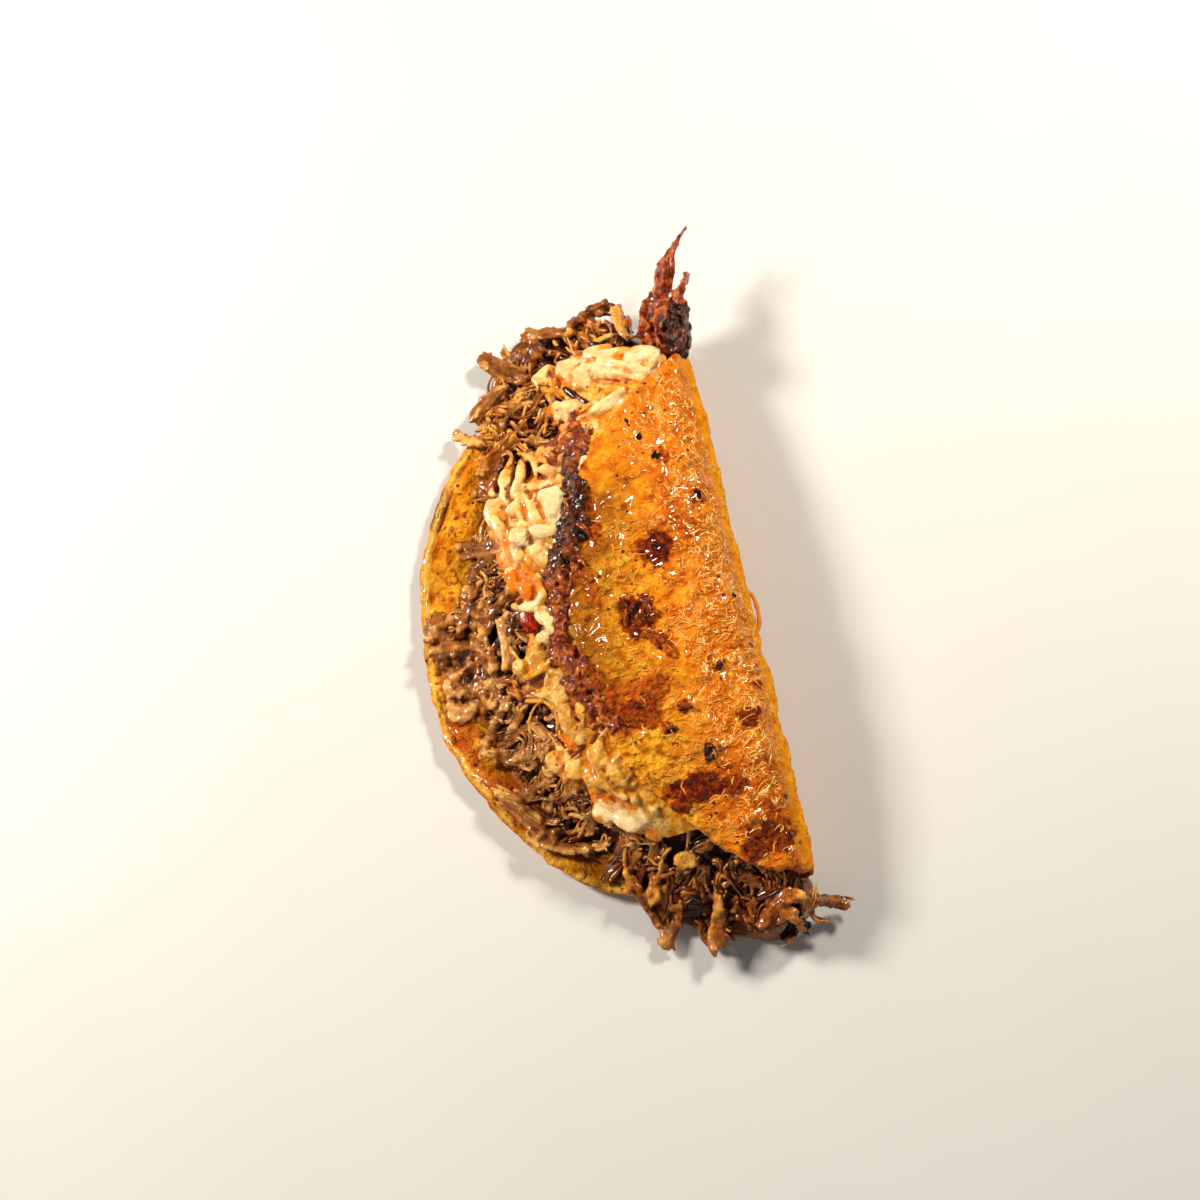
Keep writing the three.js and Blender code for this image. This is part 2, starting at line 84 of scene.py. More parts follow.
# Outlines as [along the fold, across it]
BEEF_MOUTH = [
    [-80, -16], [-74, -33], [-66, -42], [-55, -51], [-45, -61], [-34, -67], [-21, -70], [-8, -75], [2, -79],
    [12, -77], [22, -70], [34, -64], [46, -59], [64, -57], [72, -53], [80, -49], [86, -41], [89, -27],
]
BEEF_FOLD = [[-80, -10], [-75, -2], [-69, 0], [-62, -5], [60, -6], [76, -8], [84, -12], [89, -22]]
CHEESE_MOUTH = [
    [-52, -34], [-48, -43], [-38, -49], [-28, -54], [-18, -56], [-8, -58], [-3, -59], [4, -56], [13, -57],
    [24, -58], [31, -61], [40, -58], [50, -50], [60, -39], [67, -31], [71, -22],
]
CRUST_LEFT = [
    [-24, -46], [-17, -49], [-9, -50.5], [-1, -51.5], [9, -50], [19, -48.5], [26, -44.6], [32, -41.6],
    [41, -39.6], [50, -38.6], [58, -35],
]
CRUST_RIGHT = [
    [-24, -42], [-18, -43], [-12, -46], [3, -46.5], [12, -43.5], [20, -39.5], [29, -36.2], [39, -33.4],
    [50, -31.6], [58, -29],
]

# How far a painted spot's edge frays, and how wide it fades
SPOT_FRAY = 0.35
SPOT_EDGE = 0.45

# Voxels in which overlapping shapes are melted together
CHEESE_VOXEL = 0.44
CRUST_VOXEL = 0.36
BEEF_VOXEL = 0.41
CRISP_VOXEL = 0.31


# ---------------------------------------------------------------- numbers

def lerp(a, b, t):
    return a + (b - a) * t


def clamp01(t):
    return np.clip(t, 0, 1)


def smooth(t):
    s = clamp01(t)
    return s * s * (3 - 2 * s)


def rise(value, start, width):
    """0 up to start and 1 from a width past it."""
    return smooth((value - start) / width)


def fall(value, end, width):
    """1 up to a width before end and 0 past it."""
    return smooth((end - value) / width)


def between(value, start, end, rise_width, fall_width):
    """0 outside start and end, and 1 further in than the widths."""
    return rise(value, start, rise_width) * fall(value, end, fall_width)


def near(value, middle, width):
    """1 at the middle and 0 a width from it."""
    return smooth(1 - np.abs(value - middle) / width)


def strongest(*masks):
    return np.maximum.reduce(masks)


def along(pairs, place):
    """Smoothly joined values of a few [place, value] pairs."""
    places, values = np.array(pairs, float).T
    place = np.clip(place, places[0], places[-1])
    i = np.clip(np.searchsorted(places, place), 1, len(places) - 1)
    t = (place - places[i - 1]) / (places[i] - places[i - 1])
    return lerp(values[i - 1], values[i], smooth(t))


def lattice(ix, iy, seed):
    s = np.sin(ix * 127.1 + iy * 311.7 + seed * 74.7) * 43758.5453
    return 2 * (s - np.floor(s)) - 1


def noise(x, y, size, seed):
    """Value noise from -1 to 1 with bumps of the given size."""
    ix, iy = np.floor(x / size), np.floor(y / size)
    fx, fy = smooth(x / size - ix), smooth(y / size - iy)
    low = lerp(lattice(ix, iy, seed), lattice(ix + 1, iy, seed), fx)
    high = lerp(lattice(ix, iy + 1, seed), lattice(ix + 1, iy + 1, seed), fx)
    return lerp(low, high, fy)


def line_noise(x, size, seed):
    """The same noise along a line."""
    return noise(x, 0 * x, size, seed)


def noise3(points, size, seed):
    """The same noise through space; points is (n, 3)."""
    turned = points @ np.array([[0.80, -0.36, 0.48], [0.60, 0.48, -0.64], [0.0, 0.80, 0.60]])
    cell = np.floor(turned / size)
    part = smooth(turned / size - cell)
    ix, iy = cell[..., 0], cell[..., 1]
    layers = []
    for dz in (0, 1):
        shift = seed + (cell[..., 2] + dz) * 3.7
        low = lerp(lattice(ix, iy, shift), lattice(ix + 1, iy, shift), part[..., 0])
        high = lerp(lattice(ix, iy + 1, shift), lattice(ix + 1, iy + 1, shift), part[..., 0])
        layers.append(lerp(low, high, part[..., 1]))
    return lerp(layers[0], layers[1], part[..., 2])


def rough3(points, size, seed, octaves=3):
    """Noise with finer noise on it."""
    return sum(0.5 ** k * noise3(points, size / 2 ** k, seed + k) for k in range(octaves))


def spot(x, y, at_x, at_y, half_width, half_length, turn, seed):
    """A mask that is 1 inside a ragged oval and fades out over its edge."""
    dx, dy = x - at_x, y - at_y
    u = (dx * math.cos(turn) + dy * math.sin(turn)) / half_width
    v = (dy * math.cos(turn) - dx * math.sin(turn)) / half_length
    fray = noise(x, y, 2.6, seed) + 0.6 * noise(x, y, 1.2, seed + 1)
    return smooth((1 + SPOT_EDGE / 2 - np.hypot(u, v) - SPOT_FRAY * fray) / SPOT_EDGE)


def painted(x, y, spots, seed):
    """The strongest of several spots at each point."""
    return strongest(*(strength * spot(x, y, *shape, seed + k) for k, (*shape, strength) in enumerate(spots)))


def cubic(corners, t):
    """Points of the cubic through four corners: corners (n, 4, 3) and t (n, rings)."""
    nodes = [0, 1 / 3, 2 / 3, 1]
    result = 0
    for i, at in enumerate(nodes):
        weight = 1
        for other in nodes[:i] + nodes[i + 1:]:
            weight = weight * (t - other) / (at - other)
        result = result + weight[..., None] * corners[:, None, i]
    return result


def steps(count, rings):
    """Places from 0 to 1 along each of some strands."""
    return np.linspace(0, 1, rings)[None] * np.ones((count, 1))


def plump(t, start, power):
    """A thickness along a strand that is 1 in the middle; a small start gives thin ends."""
    return np.sin(math.pi * lerp(start, 1 - start, t)) ** power


# Places of a strand's four corners, as shares of its length from its middle
CORNERS = np.array([[-0.5, -0.18, 0.18, 0.5]])


def bowed(x, y, turn, length, bow):
    """The four corners, in plan, of strands that bow aside."""
    side = bow * (0.25 - CORNERS * CORNERS) * 4
    corner_x = x + np.cos(turn) * CORNERS * length - np.sin(turn) * side
    corner_y = y + np.sin(turn) * CORNERS * length + np.cos(turn) * side
    return corner_x, corner_y


# ---------------------------------------------------------------- fold

def disc_radius(angle):
    """The flat disc's uneven radius."""
    lobes = sum(size * np.cos((i + 1) * angle) for i, size in enumerate(RIM_LOBES))
    radius = DISC_R + lobes
    for size, number, shift in RIM_RIPPLES:
        radius = radius + size * np.cos(number * angle + shift)
    return radius


def rim_distance(q, y):
    """How far inside the disc's rim a place is."""
    return disc_radius(np.arctan2(y - DISC_Y, q)) - np.hypot(q, y - DISC_Y)


def half_thickness(inward):
    """Half the sheet's thickness, which tapers towards the rim."""
    return THICKNESS / 2 * (1 - RIM_TAPER * fall(inward, RIM_TAPER_WIDTH, RIM_TAPER_WIDTH))


def fold_shape(y):
    """Radius, centre, end of the wrap and where that end lies, at y along the fold."""
    height = FOLD_HEIGHT - FOLD_END_DROP * ((y - DISC_Y) / FOLD_HALF_LENGTH) ** 2
    radius = (height - THICKNESS) / 2
    centre_x = -(radius + THICKNESS / 2)
    wrap_end = WRAP_START + radius * TURN
    end_x = centre_x + radius * math.sin(TURN)
    end_z = THICKNESS / 2 + radius * (1 - math.cos(TURN))
    return radius, centre_x, wrap_end, end_x, end_z


def swell(q, y, past):
    """Slow swells of the upper flap, from the end of the wrap on."""
    return SWELL_HEIGHT * noise(q, y, SWELL_SIZE, 3) * smooth(past / 15)


def fold_line(q, y):
    """Middle surface and heading of the folded sheet at q across the disc and y along it."""
    radius, centre_x, wrap_end, end_x, end_z = fold_shape(y)
    lift = clamp01(1 - rim_distance(q, y) / RIM_CURL_WIDTH) ** 2 * fall(q, WRAP_START, 20)
    turned = (q - WRAP_START) / radius
    past = q - wrap_end
    upper = TURN + BEND * past
    upper_x = end_x + (np.sin(upper) - math.sin(TURN)) / BEND
    upper_z = end_z - (np.cos(upper) - math.cos(TURN)) / BEND + swell(q, y, past)
    lower_x, lower_z = centre_x + q - WRAP_START, THICKNESS / 2 + RIM_CURL * lift
    wrap_x, wrap_z = centre_x + radius * np.sin(turned), THICKNESS / 2 + radius * (1 - np.cos(turned))
    where = [q <= WRAP_START, q <= wrap_end]
    x = np.select(where, [lower_x, wrap_x], upper_x)
    z = np.select(where, [lower_z, wrap_z], upper_z)
    return x, z, np.select(where, [0 * turned, turned], upper)


def fold_point(q, beside, offset):
    """A point of the folded sheet, offset outwards from its middle surface."""
    y = beside - SKEW * rise(q, WRAP_START, WRAP_LENGTH)
    x, z, heading = fold_line(q, y)
    return np.stack([x + offset * np.sin(heading), y, z - offset * np.cos(heading)], -1)


def roof(x, y):
    """Height of the upper flap's middle surface over x, carried on past its edge."""
    _, _, wrap_end, end_x, end_z = fold_shape(y)
    heading = math.pi - np.arcsin(np.clip(math.sin(TURN) + (x - end_x) * BEND, -1, 1))
    past = (heading - TURN) / BEND
    return end_z - (np.cos(heading) - math.cos(TURN)) / BEND + swell(wrap_end + past, y, past)


def upper_edge(y):
    """Where the upper flap ends, across the fold."""
    beside = y + SKEW - DISC_Y
    q = np.full_like(beside, DISC_R)
    for _ in range(4):
        radius = disc_radius(np.arctan2(beside, q))
        q = np.sqrt(np.maximum(1, radius * radius - beside * beside))
    return fold_line(np.maximum(q, fold_shape(y)[2]), y)[0]


def cheese_top(x, y):
    """Height of the cheese, just under the upper flap and falling away outside it."""
    inside = roof(x, y) - THICKNESS / 2 - GAP - CUT_CLEARANCE
    spill = np.maximum(0, upper_edge(y) - x)
    return inside - SPILL_SLOPE * spill - SPILL_DROOP * spill * spill


def heap_top(x, y):
    """Height of the beef, a mound that rises from its outline and stays under the cheese."""
    mouth = along(BEEF_MOUTH, y) - 4
    fold_side = along(BEEF_FOLD, y) + 2
    endward = np.minimum(y - BEEF_MOUTH[0][0], BEEF_MOUTH[-1][0] - y) + 3

    def mound(distance, spread):
        return 1 - np.exp(-np.maximum(0, distance) / spread)

    swell_up = mound(x - mouth, HEAP_SPREAD) * mound(endward, 9) * mound(fold_side - x, 5)
    under = cheese_top(x, y) - CHEESE_DEPTH - GAP - CUT_CLEARANCE
    return np.minimum(HEAP_RIM + HEAP_HEIGHT * swell_up, under)


def heap_floor(x, y):
    """The lower flap's face, and past its edge the plate."""
    q = x - fold_shape(y)[1] + WRAP_START
    share = np.hypot(q, y - DISC_Y) / disc_radius(np.arctan2(y - DISC_Y, q))
    flap = fold_line(np.minimum(q, WRAP_START), y)[1] + THICKNESS / 2 + GAP
    return lerp(flap, 0.3, rise(share, 1.0, 0.04))


# ---------------------------------------------------------------- meshes

def stacked(x, y, z=0.0):
    """Points from their three coordinates."""
    return np.stack(np.broadcast_arrays(x, y, z), -1)


def new_piece(name, points, faces, node, material, marks=None):
    """Makes a piece from layout points in mm. Marks are values per point that its material reads."""
    mesh = bpy.data.meshes.new(name)
    mesh.from_pydata(((points + LAYOUT_TO_ROW) * MM).tolist(), [], faces)
    for mark, values in (marks or {}).items():
        kind, slot = ("FLOAT_VECTOR", "vector") if np.ndim(values) == 2 else ("FLOAT", "value")
        attribute = mesh.attributes.new(mark, kind, "POINT")
        attribute.data.foreach_set(slot, values.astype(np.float32).ravel())
    mesh.shade_smooth()
    mesh.materials.append(material)
    piece = bpy.data.objects.new(name, mesh)
    bpy.context.scene.collection.objects.link(piece)
    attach(piece, "root")
    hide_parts(node)


def closed_sheet(top, bottom):
    """Points and faces of a closed solid between two grids of points."""
    rows, columns = top.shape[:2]
    layer = rows * columns
    points = np.concatenate([top.reshape(-1, 3), bottom.reshape(-1, 3)])
    at = np.arange(layer).reshape(rows, columns)
    quads = np.stack([at[:-1, :-1], at[1:, :-1], at[1:, 1:], at[:-1, 1:]], -1).reshape(-1, 4)
    border = np.concatenate([at[:-1, 0], at[-1, :-1], at[1:, -1][::-1], at[0, 1:][::-1]])
    after = np.roll(border, -1)
    wall = np.stack([after, border, border + layer, after + layer], -1)
    return points, outward(points, np.concatenate([quads, quads[:, ::-1] + layer, wall]))


def outward(points, faces):
    """Turns all four-sided faces of a closed mesh round if they point inwards."""
    a, b, c, d = (points[faces[:, k]] for k in range(4))
    volume = np.sum(a * np.cross(b, c)) + np.sum(a * np.cross(c, d))
    return (faces if volume > 0 else faces[:, ::-1]).tolist()


def repeated(faces, count, step):
    """The faces of count like shapes whose points follow one another."""
    return (faces + step * np.arange(count)[:, None, None]).reshape(-1, faces.shape[1]).tolist()


def frame_along(paths):
    """Unit directions across and over each path at each of its rings."""
    tangent = np.gradient(paths, axis=1)
    tangent /= np.linalg.norm(tangent, axis=2, keepdims=True) + 1e-9
    across = np.cross(tangent, np.array([0.05, 0.08, 1.0]))
    across /= np.linalg.norm(across, axis=2, keepdims=True) + 1e-9
    return across, np.cross(across, tangent)


def tubes(paths, radii, sides, flatten=1.0):
    """Points and faces of closed tubes: paths is (n, rings, 3) and radii (n, rings)."""
    count, rings, _ = paths.shape
    across, over = frame_along(paths)
    tip = 0.6 * radii[..., None] * np.cross(over, across)
    angle = (2 * math.pi * np.arange(sides) / sides)[:, None]
    flat = np.reshape(flatten, (-1, 1, 1, 1))
    ring = across[:, :, None] * np.cos(angle) + over[:, :, None] * np.sin(angle) * flat
    skin = (paths[:, :, None] + ring * radii[..., None, None]).reshape(count, rings * sides, 3)
    points = np.concatenate([skin, paths[:, :1] - tip[:, :1], paths[:, -1:] + tip[:, -1:]], 1)
    at = np.arange(rings * sides).reshape(rings, sides)
    beside = np.roll(at, -1, axis=1)
    quads = np.stack([at[:-1], at[1:], beside[1:], beside[:-1]], -1).reshape(-1, 4)
    first, last = rings * sides, rings * sides + 1
    start = [[first, a, b] for a, b in zip(at[0], beside[0])]
    end = [[last, b, a] for a, b in zip(at[-1], beside[-1])]
    faces = repeated(quads, count, last + 1) + repeated(np.array(start + end), count, last + 1)
    return points.reshape(-1, 3), faces


def per_tube(values, rings, sides):
    """Spreads one value per tube and ring over that tube's points."""
    values = values * np.ones((1, rings))
    skin = np.repeat(values, sides, axis=1)
    return np.concatenate([skin, values[:, :1], values[:, -1:]], 1).ravel()


def unit_ball(subdivisions):
    """Points and faces of a unit ball."""
    bpy.ops.object.select_all(action="DESELECT")
    bpy.ops.mesh.primitive_ico_sphere_add(subdivisions=subdivisions, radius=1)
    ball = bpy.context.object.data
    points = np.array([v.co[:] for v in ball.vertices])
    faces = np.array([p.vertices[:] for p in ball.polygons])
    bpy.data.meshes.remove(ball)
    return points, faces


BALLS = {level: unit_ball(level) for level in (2, 3, 4)}


def turn_matrices(turn, tilt, roll):
    """Rotations: roll about the long side, tilt it up, then turn it in plan."""
    zero, one = np.zeros_like(turn), np.ones_like(turn)

    def matrix(*values):
        return np.stack(values, -1).reshape(-1, 3, 3)

    about_x = matrix(one, zero, zero, zero, np.cos(roll), -np.sin(roll), zero, np.sin(roll), np.cos(roll))
    about_y = matrix(np.cos(tilt), zero, -np.sin(tilt), zero, one, zero, np.sin(tilt), zero, np.cos(tilt))
    about_z = matrix(np.cos(turn), -np.sin(turn), zero, np.sin(turn), np.cos(turn), zero, zero, zero, one)
    return about_z @ about_y @ about_x


def lumps(middles, sizes, turn=0, tilt=0, roll=0, rough=0.15, grain=1.1, level=3, seed=1, square=1.0):
    """Rough balls with the given half-sizes, each dented in its own way; below 1, square makes them boxy."""
    count = len(middles)
    ball, faces = BALLS[level]
    shaped = np.repeat((np.sign(ball) * np.abs(ball) ** square)[None], count, 0)
    own = np.arange(count)[:, None, None] * 7.3 + seed
    dent = rough3(shaped / grain + own, 1.0, seed)
    shaped = shaped * (1 + rough * dent[..., None]) * np.asarray(sizes)[:, None]
    spin = turn_matrices(*(np.zeros(count) + angle for angle in (turn, tilt, roll)))
    shaped = np.einsum("nij,nkj->nki", spin, shaped) + np.asarray(middles)[:, None]
    return shaped.reshape(-1, 3), repeated(faces, count, len(ball))


def gather(parts):
    """Joins (points, faces) pairs."""
    points, faces, start = [], [], 0
    for part_points, part_faces in parts:
        points.append(part_points)
        faces += [[i + start for i in face] for face in part_faces]
        start += len(part_points)
    return np.concatenate(points), faces


def fused(parts, voxel, smoothing):
    """Melts overlapping closed meshes into one skin. Returns its points, faces and normals."""
    points, faces = gather(parts)
    mesh = bpy.data.meshes.new("melt")
    mesh.from_pydata(points.tolist(), [], faces)
    melt = bpy.data.objects.new("melt", mesh)
    bpy.context.scene.collection.objects.link(melt)
    bpy.ops.object.select_all(action="DESELECT")
    bpy.context.view_layer.objects.active = melt
    melt.select_set(True)
    remesh = melt.modifiers.new("skin", "REMESH")
    remesh.mode = "VOXEL"
    remesh.voxel_size = voxel
    soften = melt.modifiers.new("soften", "SMOOTH")
    soften.iterations = smoothing
    for name in ("skin", "soften"):
        bpy.ops.object.modifier_apply(modifier=name)
    mesh = melt.data
    points, normals = np.zeros((2, len(mesh.vertices) * 3))
    mesh.vertices.foreach_get("co", points)
    mesh.vertex_normals.foreach_get("vector", normals)
    faces = [p.vertices[:] for p in mesh.polygons]
    bpy.data.objects.remove(melt)
    return points.reshape(-1, 3), faces, normals.reshape(-1, 3)


def pushed(points, normals, distance):
    """Points moved along their normals."""
    return points + normals * distance[:, None]


def box_sum(grid, reach):
    """Each cell's sum over a square of cells round it."""
    for axis in (0, 1):
        padded = np.concatenate([np.zeros_like(grid.take([0], axis)), np.cumsum(grid, axis)], axis)
        at = np.arange(grid.shape[axis])
        high, low = np.minimum(at + reach + 1, grid.shape[axis]), np.maximum(at - reach, 0)
        grid = padded.take(high, axis) - padded.take(low, axis)
    return grid


def crests(points, around, reach):
    """How far points stand above the upper surface of a piece, averaged over its surroundings, in mm."""
    cell, empty = 0.5, -1e3
    corner = around[:, :2].min(0)
    at = ((around[:, :2] - corner) / cell).astype(int)
    top = np.full(at.max(0) + 1, empty)
    np.maximum.at(top, (at[:, 0], at[:, 1]), around[:, 2])
    known = (top > empty).astype(float)
    cells = round(reach / cell)
    level = box_sum(top * known, cells) / np.maximum(box_sum(known, cells), 1)
    here = np.clip(((points[:, :2] - corner) / cell).astype(int), 0, np.array(top.shape) - 1)
    return points[:, 2] - level[here[:, 0], here[:, 1]]


# ---------------------------------------------------------------- shader values

class Value:
    """The output of a shader node, which adds and multiplies like a number."""

    def __init__(self, socket):
        self.socket = socket
        self.tree = socket.id_data

    def __add__(self, other):
        return maths("ADD", self, other)

    def __sub__(self, other):
        return maths("SUBTRACT", self, other)

    def __rsub__(self, other):
        return maths("SUBTRACT", other, self)

    def __mul__(self, other):
        return maths("MULTIPLY", self, other)

    __rmul__ = __mul__

    def beside(self, name):
        """Another output of the same node."""
        return Value(self.socket.node.outputs[name])


def tree_of(*inputs):
    """The node tree that the values among the inputs belong to."""
    return next(given.tree for given in inputs if isinstance(given, Value))


def feed(socket, given):
    """Links a value to a socket, or sets the socket to a number, a vector or a colour."""
    if isinstance(given, Value):
        given.tree.links.new(given.socket, socket)
    else:
        socket.default_value = (*given, 1.0) if socket.type == "RGBA" else given


def add(tree, kind, inputs, output=0, **settings):
    """Adds a shader node and returns one of its outputs."""
    node = tree.nodes.new(kind)
    for key, setting in settings.items():
        setattr(node, key, setting)
    for key, given in inputs.items():
        feed(node.inputs[key], given)
    return Value(node.outputs[output])


def maths(operation, a, b, clamp=False):
    return add(tree_of(a, b), "ShaderNodeMath", {0: a, 1: b}, operation=operation, use_clamp=clamp)


def vector_maths(operation, a, b):
    second = "Scale" if operation == "SCALE" else 1
    return add(a.tree, "ShaderNodeVectorMath", {0: a, second: b}, operation=operation)


def spread(value, low, high, to_low=0.0, to_high=1.0):
    """Maps low..high smoothly to to_low..to_high."""
    inputs = dict(enumerate((value, low, high, to_low, to_high)))
    return add(value.tree, "ShaderNodeMapRange", inputs, interpolation_type="SMOOTHSTEP")


def layered(colour, *layers):
    """A colour with others laid over it in turn, each given as its share and itself."""
    for share, over in layers:
        colour = add(share.tree, "ShaderNodeMix", {0: share, 6: colour, 7: over}, 2, data_type="RGBA")
    return colour


def cloud(place, size, detail=3.0, roughness=0.55, distortion=0.0):
    """Noise with features of about the given size in mm."""
    inputs = {"Vector": place, "Scale": 1 / size, "Detail": detail, "Roughness": roughness}
    return add(place.tree, "ShaderNodeTexNoise", {**inputs, "Distortion": distortion})


def cells(place, output, feature="F1"):
    """A pattern of cells of size 1."""
    return add(place.tree, "ShaderNodeTexVoronoi", {"Vector": place, "Scale": 1.0}, output, feature=feature)


# ---------------------------------------------------------------- effects that materials share

def new_effect(name, output, kind, **inputs):
    """Starts a node group. Returns its tree, where it ends, its place in sizes and its other inputs."""
    tree = bpy.data.node_groups.new(name, "ShaderNodeTree")
    inputs = {"Place": "Vector", "Size": "Float", **inputs}
    for label, socket_kind in inputs.items():
        tree.interface.new_socket(label, in_out="INPUT", socket_type="NodeSocket" + socket_kind)
    tree.interface.new_socket(output, in_out="OUTPUT", socket_type="NodeSocket" + kind)
    start, end = tree.nodes.new("NodeGroupInput"), tree.nodes.new("NodeGroupOutput")
    place, size, *others = (Value(start.outputs[label]) for label in inputs)
    scaled = vector_maths("SCALE", place, maths("DIVIDE", 1.0, size))
    return tree, end.inputs[output], scaled, *others


def build_mottle():
    """Three colours in soft blotches with finer blotches on them."""
    tree, end, place, dark, middle, light = new_effect(
        "mottle", "Color", "Color", Dark="Color", Middle="Color", Light="Color")
    twice = 2.0 * spread(cloud(place, 1.0, 5.0, 0.6, 0.4), 0.30, 0.70)
    low, high = maths("MINIMUM", twice, 1.0), maths("SUBTRACT", twice, 1.0, clamp=True)
    feed(end, layered(dark, (low, middle), (high, light)))
    return tree


def build_oiled():
    """Roughness that is low where oil lies in patches and higher where the surface is dry."""
    tree, end, place, oiled, dry = new_effect("oiled", "Roughness", "Float", Oiled="Float", Dry="Float")
    feed(end, spread(cloud(place, 1.0, 4.0, 0.6), 0.35, 0.65, oiled, dry))
    return tree


def build_pits():
    """Small round pits scattered at random: a mask of them."""
    tree, end, place, share, radius = new_effect("pits", "Mask", "Float", Share="Float", Radius="Float")
    distance = cells(place, "Distance")
    chosen = add(tree, "ShaderNodeSeparateColor", {0: distance.beside("Color")})
    wide = radius * (chosen.beside("Green") + 0.4)
    feed(end, maths("LESS_THAN", chosen, share) * spread(distance, 0.6 * wide, wide, 1.0, 0.0))
    return tree


def build_curls():
    """Curly lines, broken here and there: a mask of them."""
    tree, end, place, width = new_effect("curly_lines", "Mask", "Float", Width="Float")
    swirl = vector_maths("SUBTRACT", cloud(place, 1.25, 0.0).beside("Color"), (0.5, 0.5, 0.5))
    moved = vector_maths("ADD", place, vector_maths("SCALE", swirl, 2.2))
    line = spread(cells(moved, "Distance", "DISTANCE_TO_EDGE"), 0.4 * width, width, 1.0, 0.0)
    feed(end, line * spread(cloud(place, 0.8, 0.0), 0.42, 0.50))
    return tree


MOTTLE, OILED, PITS, CURLS = build_mottle(), build_oiled(), build_pits(), build_curls()


class Finish:
    """A Principled material in the making. Shader settings are the same all over the surface."""

    def __init__(self, name, **shader):
        self.material = bpy.data.materials.new(name)
        self.material.use_nodes = True
        self.tree = self.material.node_tree
        self.inputs = self.tree.nodes["Principled BSDF"].inputs
        for key, setting in shader.items():
            self.inputs[key.replace("_", " ")].default_value = setting
        metres = add(self.tree, "ShaderNodeTexCoord", {}, "Object")
        self.place = add(self.tree, "ShaderNodeMapping", {0: metres, "Scale": [1 / MM] * 3})

    def marks(self, *names, output="Fac"):
        """The values per point that a piece carries under these names."""
        return [add(self.tree, "ShaderNodeAttribute", {}, output, attribute_name=name) for name in names]

    def effect(self, made, size, **inputs):
        inputs = {"Place": self.place, "Size": size, **inputs}
        return add(self.tree, "ShaderNodeGroup", inputs, node_tree=made)

    def mottle(self, size, dark, middle, light):
        return self.effect(MOTTLE, size, Dark=dark, Middle=middle, Light=light)

    def pits(self, size, share, radius):
        return self.effect(PITS, size, Share=share, Radius=radius)

    def curly(self, size, width):
        return self.effect(CURLS, size, Width=width)

    def oiled(self, size, oiled, dry):
        return self.effect(OILED, size, Oiled=oiled, Dry=dry)

    def cloud(self, size, detail=3.0, roughness=0.55):
        return cloud(self.place, size, detail, roughness)

    def made(self, colour, roughness, height=None, depth=1.0, strength=1.0):
        """The finished material; a height of 1 stands out by the depth in mm."""
        feed(self.inputs["Base Color"], colour)
        feed(self.inputs["Roughness"], roughness)
        if height:
            relief = {"Height": height, "Distance": depth * MM, "Strength": strength}
            feed(self.inputs["Normal"], add(self.tree, "ShaderNodeBump", relief))
        return self.material


# ---------------------------------------------------------------- materials

def tortilla_material():
    """Fried corn tortilla: mustard to orange, curly glossy wrinkles, brown burns and pin-holes."""
    skin = Finish("fried_tortilla", IOR=1.45, Specular_IOR_Level=0.05, Coat_Roughness=0.05)
    gold, curls, brown, char, stain_and_shade, olive_and_shade, rim, bend = skin.marks(
        "gold", "curls", "brown", "char", "stain_and_shade", "olive_and_shade", "rim", "bend")
    orange = skin.mottle(4.0, (0.50, 0.085, 0.002), (0.80, 0.21, 0.003), (0.98, 0.42, 0.012))
    yellow = skin.mottle(3.0, (0.40, 0.088, 0.001), (0.66, 0.205, 0.002), (0.94, 0.45, 0.02))
    burn = skin.mottle(1.5, (0.045, 0.003, 0.001), (0.15, 0.011, 0.001), (0.34, 0.055, 0.006))
    blistered = gold * skin.pits(2.9, 0.75, 0.42)
    wrinkled = gold * skin.curly(3.4, 0.16)
    curl = curls * skin.curly(2.0, 0.10)
    freckles = skin.pits(2.6, 0.6, 0.17)
    fine = skin.cloud(1.1, 4.0, 0.65)
    frayed = brown + 1.6 * (fine - 0.5)
    browned = spread(frayed, 0.40, 0.95)
    colour = layered(
        orange,
        (gold, yellow),
        (0.40 * blistered, (0.97, 0.49, 0.03)),
        # Partly painted highlight: wrinkles and curly lines are painted pale yellow, their own paler colour
        # and the glints on their ridges
        (0.40 * wrinkled, (0.98, 0.60, 0.05)),
        # painted shade: olive where the crust shades the flap beside it, and olive spots on the inner face
        (0.95 * olive_and_shade, (0.26, 0.070, 0.001)),
        (0.5 * curls, (0.60, 0.10, 0.001)),
        (0.6 * curl, (1.0, 0.52, 0.10)),
        # red-brown stains, partly the beef's painted shadow on the lower flap
        (0.85 * stain_and_shade, (0.44, 0.05, 0.002)),
        (0.8 * spread(frayed, 0.20, 0.55), (0.44, 0.07, 0.003)),
        (browned, burn),
        (spread(char + (fine - 0.5), 0.35, 0.7), (0.014, 0.005, 0.003)),
        (0.9 * freckles, (0.06, 0.008, 0.002)),
        (0.7 * skin.pits(5.0, 0.5, 0.22), (0.30, 0.035, 0.002)),
        # partly painted highlight: the inner rim is painted light yellow, its own paler colour and a
        # highlight along its edge
        (0.7 * rim, (1.0, 0.60, 0.10)),
        # painted light: the fold's bend is painted brighter, more saturated orange as its lit side
        (0.5 * bend, (0.95, 0.33, 0.001)),
    )
    feed(skin.inputs["Coat Weight"], 0.55 * (1.0 - bend))
    gloss = maths("MAXIMUM", skin.oiled(3.0, 0.28, 0.5), 0.7 * bend)
    height = 0.22 * curl + 0.18 * wrinkled + 0.35 * blistered + 0.9 * skin.cloud(1.6, 3.0, 0.5)
    height = height - 0.35 * freckles + 0.5 * (browned * fine)
    return skin.made(colour, gloss, height)


